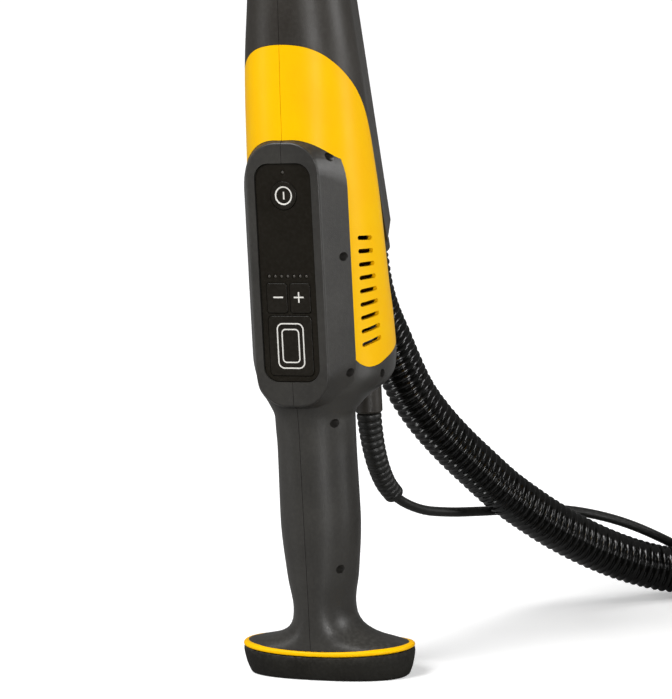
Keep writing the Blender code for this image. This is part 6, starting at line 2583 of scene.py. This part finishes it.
@dataclass(frozen=True)
class SandingHead:
    """Motor housing, shroud, brush ring, backing pad and abrasive disc."""

    yoke: Yoke
    wall: float = 0.0030
    boss_radius: float = 0.0120
    shroud_rise: float = 0.0220
    shroud_radius: float = 0.1250
    shroud_height: float = 0.0260
    brush_thickness: float = 0.0080
    brush_lift: float = 0.0045
    brush_proud: float = 0.0010
    brush_travel: float = 0.0030
    pad_radius: float = 0.1110
    pad_thickness: float = 0.0120
    pad_rise: float = 0.0400
    pad_crown: float = 0.0040
    disc_thickness: float = 0.0014
    disc_holes: int = 8
    disc_hole_radius: float = 0.0060
    shaft_radius: float = 0.0060
    running_clearance: float = 0.0004
    vent_count: int = 7
    vent_pitch: float = 9.0
    vent_size: tuple[float, float, float] = (0.0022, 0.0180, 0.00105)
    vent_depth: float = 0.0012
    vent_rise: float = 0.0080
    holder_height: float = 0.0060
    tuft_count: int = 230
    tuft_inset: float = 0.0014
    tuft_lean: float = 0.0100
    tuft_sunk: float = 0.0004
    tuft_uneven: float = 0.0008
    tuft_radii: tuple[float, float, float] = (0.00105, 0.00118, 0.00100)
    tuft_tip: float = 0.0015

    @property
    def centre(self) -> Matrix:
        """The head's axis, from the tilt pivot."""
        return Matrix.Translation(self.yoke.at_pivot())

    @property
    def pad_top(self) -> float:
        """Height of the pad's working face above the pivot."""
        return self.pad_rise + self.pad_thickness

    def build(self) -> None:
        """Makes the head's pieces."""
        self.build_housing()
        self.build_shroud()
        self.build_brush()
        self.build_pad()
        self.build_disc()

    def build_housing(self) -> None:
        """Makes the domed motor housing with its bosses and vent slots."""
        outer = self.yoke.motor_radius
        inner = outer - self.wall
        rim = self.shroud_rise - GAP
        dome = [(outer * cos(radians(a)), -outer * 0.92 * sin(radians(a)))
                for a in range(6, 90, 6)]
        hollow = [(inner * cos(radians(a)), -inner * 0.92 * sin(radians(a)))
                  for a in range(84, 0, -6)]
        profile = [(outer, rim), (outer, 0.0), *dome, (0.0, -outer * 0.92), (0.0, -inner * 0.92), *hollow,
                   (inner, 0.0), (inner, rim), (outer, rim)]
        housing = lathe("motor_shell", profile, self.centre, 96)
        steps: Steps = []
        at = self.yoke.at_pivot
        boss_end = self.yoke.inner_radius - self.running_clearance
        for side in Side:
            steps.append((Step.ADD, rod("boss", at(side.value * (inner - 0.002)), at(side.value * boss_end),
                                       self.boss_radius, 64)))
            steps.append((Step.CUT, rod("boss_bore", at(side.value * (outer - GAP)), at(side.value * 0.1),
                                            self.yoke.bolt_radius + GAP, 48)))
        for k in range(self.vent_count):
            for quarter in (90, 270):
                angle = radians(quarter + (k - self.vent_count // 2) * self.vent_pitch)
                direction = Vector((cos(angle), sin(angle), 0.0))
                across = Vector((-sin(angle), cos(angle), 0.0))
                steps.append((Step.CUT, self.vent(at(), direction, across, outer)))
        combined(housing, steps)
        soft_edges(housing, 0.0005, 2, 40.0)
        fitted(housing, YELLOW_PLASTIC, "head", ("motor_housing",))

    def vent(self, pivot: Vector, direction: Vector, across: Vector, outer: float) -> Piece:
        """A cutter for one upright vent slot in the motor housing.

        Args:
            pivot: The tilt pivot.
            direction: Which way the slot faces.
            across: The direction across the slot.
            outer: The housing's outer radius.

        Returns:
            The cutter.
        """
        outline = rounded(*self.vent_size, (0.0, 0.0), 6)
        rows = []
        for reach in (outer - self.vent_depth, outer + 0.004):
            rows.append([tuple(pivot + direction * reach + across * x + Vector((0, 0, self.vent_rise + z)))
                         for x, z in outline])
        return loft("vent", rows)

    def build_shroud(self) -> None:
        """Makes the dust shroud with its ribs."""
        rise, wide = self.shroud_rise, self.shroud_radius
        lip = rise + self.shroud_height
        floor = rise + self.wall
        skirt = wide - self.wall
        hole = self.shaft_radius + self.running_clearance
        shoulder = arc((wide - 0.006, rise + 0.006), 0.006, 0, -90, 9)
        profile = [(wide - 0.0005, lip), (wide, lip - 0.0005), *shoulder, (0.0960, rise),
                   (0.0945, rise + 0.0010),
                   (0.0715, rise + 0.0010), (0.0700, rise), (hole, rise), (hole, floor),
                   (skirt - 0.004, floor),
                   (skirt - 0.001, floor + 0.0012), (skirt, floor + 0.004), (skirt, lip),
                   (wide - 0.0005, lip)]
        shroud = lathe("shroud", profile, self.centre, 160)
        fitted(shroud, BLACK_PLASTIC, "head", ("dust_shroud",), sharp=28.0)

    def build_brush(self) -> None:
        """Makes the brush ring: a holder with tufts of bristles."""
        skirt = self.shroud_radius - self.wall
        outside = skirt - GAP
        bottom = self.shroud_rise + self.wall + self.brush_travel + self.brush_lift
        tips = self.pad_top + GAP + self.disc_thickness + self.brush_proud
        inside = outside - self.brush_thickness
        base = bottom + self.holder_height
        profile = [(outside, base), (outside, bottom), (inside, bottom), (inside, base), (outside, base)]
        holder = lathe("brush_holder", profile, self.centre, 160)
        fitted(holder, BRISTLE, "brush", ("brush_ring",))
        points: list[Point] = []
        faces: list[tuple[int, ...]] = []
        centre = self.yoke.at_pivot()
        for row, radius in enumerate((inside + self.tuft_inset, (inside + outside) / 2,
                                      outside - self.tuft_inset)):
            for k in range(self.tuft_count):
                wobble = sin(k * 12.9898 + row * 78.233) * 43758.5453
                wobble %= 1.0
                angle = 2 * pi * (k + 0.5 * (row % 2)) / self.tuft_count
                lean = (wobble - 0.5) * self.tuft_lean
                self.tuft(points, faces, centre, radius, angle, lean, base - self.tuft_sunk,
                          tips - self.tuft_uneven * wobble)
        tufts = mesh_piece("bristles", points, faces)
        fitted(tufts, BRISTLE, "brush", sharp=80.0)

    def tuft(
        self, points: list[Point], faces: list[tuple[int, ...]], centre: Vector, radius: float, angle: float,
        lean: float, low: float, high: float,
    ) -> None:
        """Adds one tuft: a six-sided bundle that opens a little at its tip.

        Args:
            points: Corners so far.
            faces: Faces so far.
            centre: The head's axis at the pivot.
            radius: The tuft's distance from the axis.
            angle: Its angle round the axis.
            lean: How far its tip turns round the axis, in radians.
            low: Height of its foot.
            high: Height of its tip.
        """
        first = len(points)
        levels = ((low, angle), (high - self.tuft_tip, angle + lean * 0.8), (high, angle + lean))
        for (height, turn), thick in zip(levels, self.tuft_radii):
            x, y = centre.x + radius * cos(turn), centre.y + radius * sin(turn)
            for k in range(6):
                side = pi * k / 3
                points.append((x + thick * cos(side), y + thick * sin(side), centre.z + height))
        faces += ring_faces(6, first, first + 6) + ring_faces(6, first + 6, first + 12)
        faces += [tuple(range(first, first + 6))[::-1], tuple(range(first + 12, first + 18))]

    def build_pad(self) -> None:
        """Makes the backing pad with its soft rim."""
        floor = self.shroud_rise + self.wall
        top, base, wide = self.pad_top, self.pad_rise, self.pad_radius
        hub = floor + self.running_clearance
        bore = self.shaft_radius + GAP
        rim = arc((wide - 0.004, base + 0.004), 0.004, 0, -90, 6)
        profile = [(0.0, top), (wide - 0.0008, top), (wide, top - 0.0008), (wide, base + 0.0075),
                   (wide - 0.0005, base + 0.0070), (wide, base + 0.0065), *rim, (0.024, base), (0.018, hub),
                   (bore, hub), (bore, top - self.pad_crown), (0.0, top - self.pad_crown)]
        pad = lathe("pad", profile, self.centre, 128)
        fitted(pad, PAD_FOAM, "pad", ("backing_pad",))

    def build_disc(self) -> None:
        """Makes the abrasive disc with its dust holes."""
        low = self.pad_top + GAP
        high = low + self.disc_thickness
        wide = self.pad_radius
        profile = [(0.0, high), (wide - 0.0003, high), (wide, high - 0.0003), (wide, low), (0.0, low)]
        disc = lathe("disc", profile, self.centre, 144)
        holes = []
        for k in range(self.disc_holes):
            angle = 2 * pi * k / self.disc_holes
            x, y = 0.65 * wide * cos(angle), 0.65 * wide * sin(angle)
            at = self.yoke.at_pivot
            holes.append((Step.CUT, rod(f"hole_{k}", at(x, y, low - PAST), at(x, y, high + PAST),
                                            self.disc_hole_radius, 40)))
        combined(disc, holes)
        fitted(disc, ABRASIVE, "pad", ("abrasive_disc",))


@dataclass(frozen=True)
class Insides:
    """Finishes for the solids that stay: electronics, motor, shaft and dust tube."""

    finishes: tuple[tuple[str, Finish], ...] = (
        ("control_board", CIRCUIT_BOARD), ("speed_controller", CONTROLLER_CASE),
        ("heat_sink_right", ALUMINIUM),
        ("heat_sink_left", ALUMINIUM), ("motor", STEEL), ("drive_shaft", STEEL), ("dust_tube", BLACK_PLASTIC),
    )

    def dress(self, nodes: dict[str, Piece]) -> None:
        """Gives each of them its material.

        Args:
            nodes: The frame's solids by name.
        """
        for name, finish in self.finishes:
            node = nodes[name]
            if not node.material_slots:
                node.data.materials.append(finish.material())
            for slot in node.material_slots:
                slot.material = finish.material()
            LOG.info("%s dressed", name)


def clear_startup() -> None:
    """Removes the objects that a new file holds."""
    for old in list(bpy.data.objects):
        bpy.data.objects.remove(old, do_unlink=True)


def main() -> None:
    logging.basicConfig(level=logging.INFO, format="%(name)s: %(message)s")
    clear_startup()
    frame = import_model()
    Studio().build()
    MainsLead().build()
    DustHose().build()
    relief = StrainRelief()
    relief.build()
    form = BodyForm()
    panel = PanelSizes()
    screws = CaseScrews(form)
    GripShells(form, panel, screws, relief).build()
    SideCovers(form, panel).build()
    UpperShells(form).build()
    EndCap(form).build()
    ControlPanel(panel).build()
    screws.build()
    DustOutlet(form).build()
    neck = Neck()
    neck.build()
    yoke = Yoke(neck)
    yoke.build()
    SandingHead(yoke).build()
    Insides().dress(frame["nodes"])


if __name__ == "__main__":
    main()
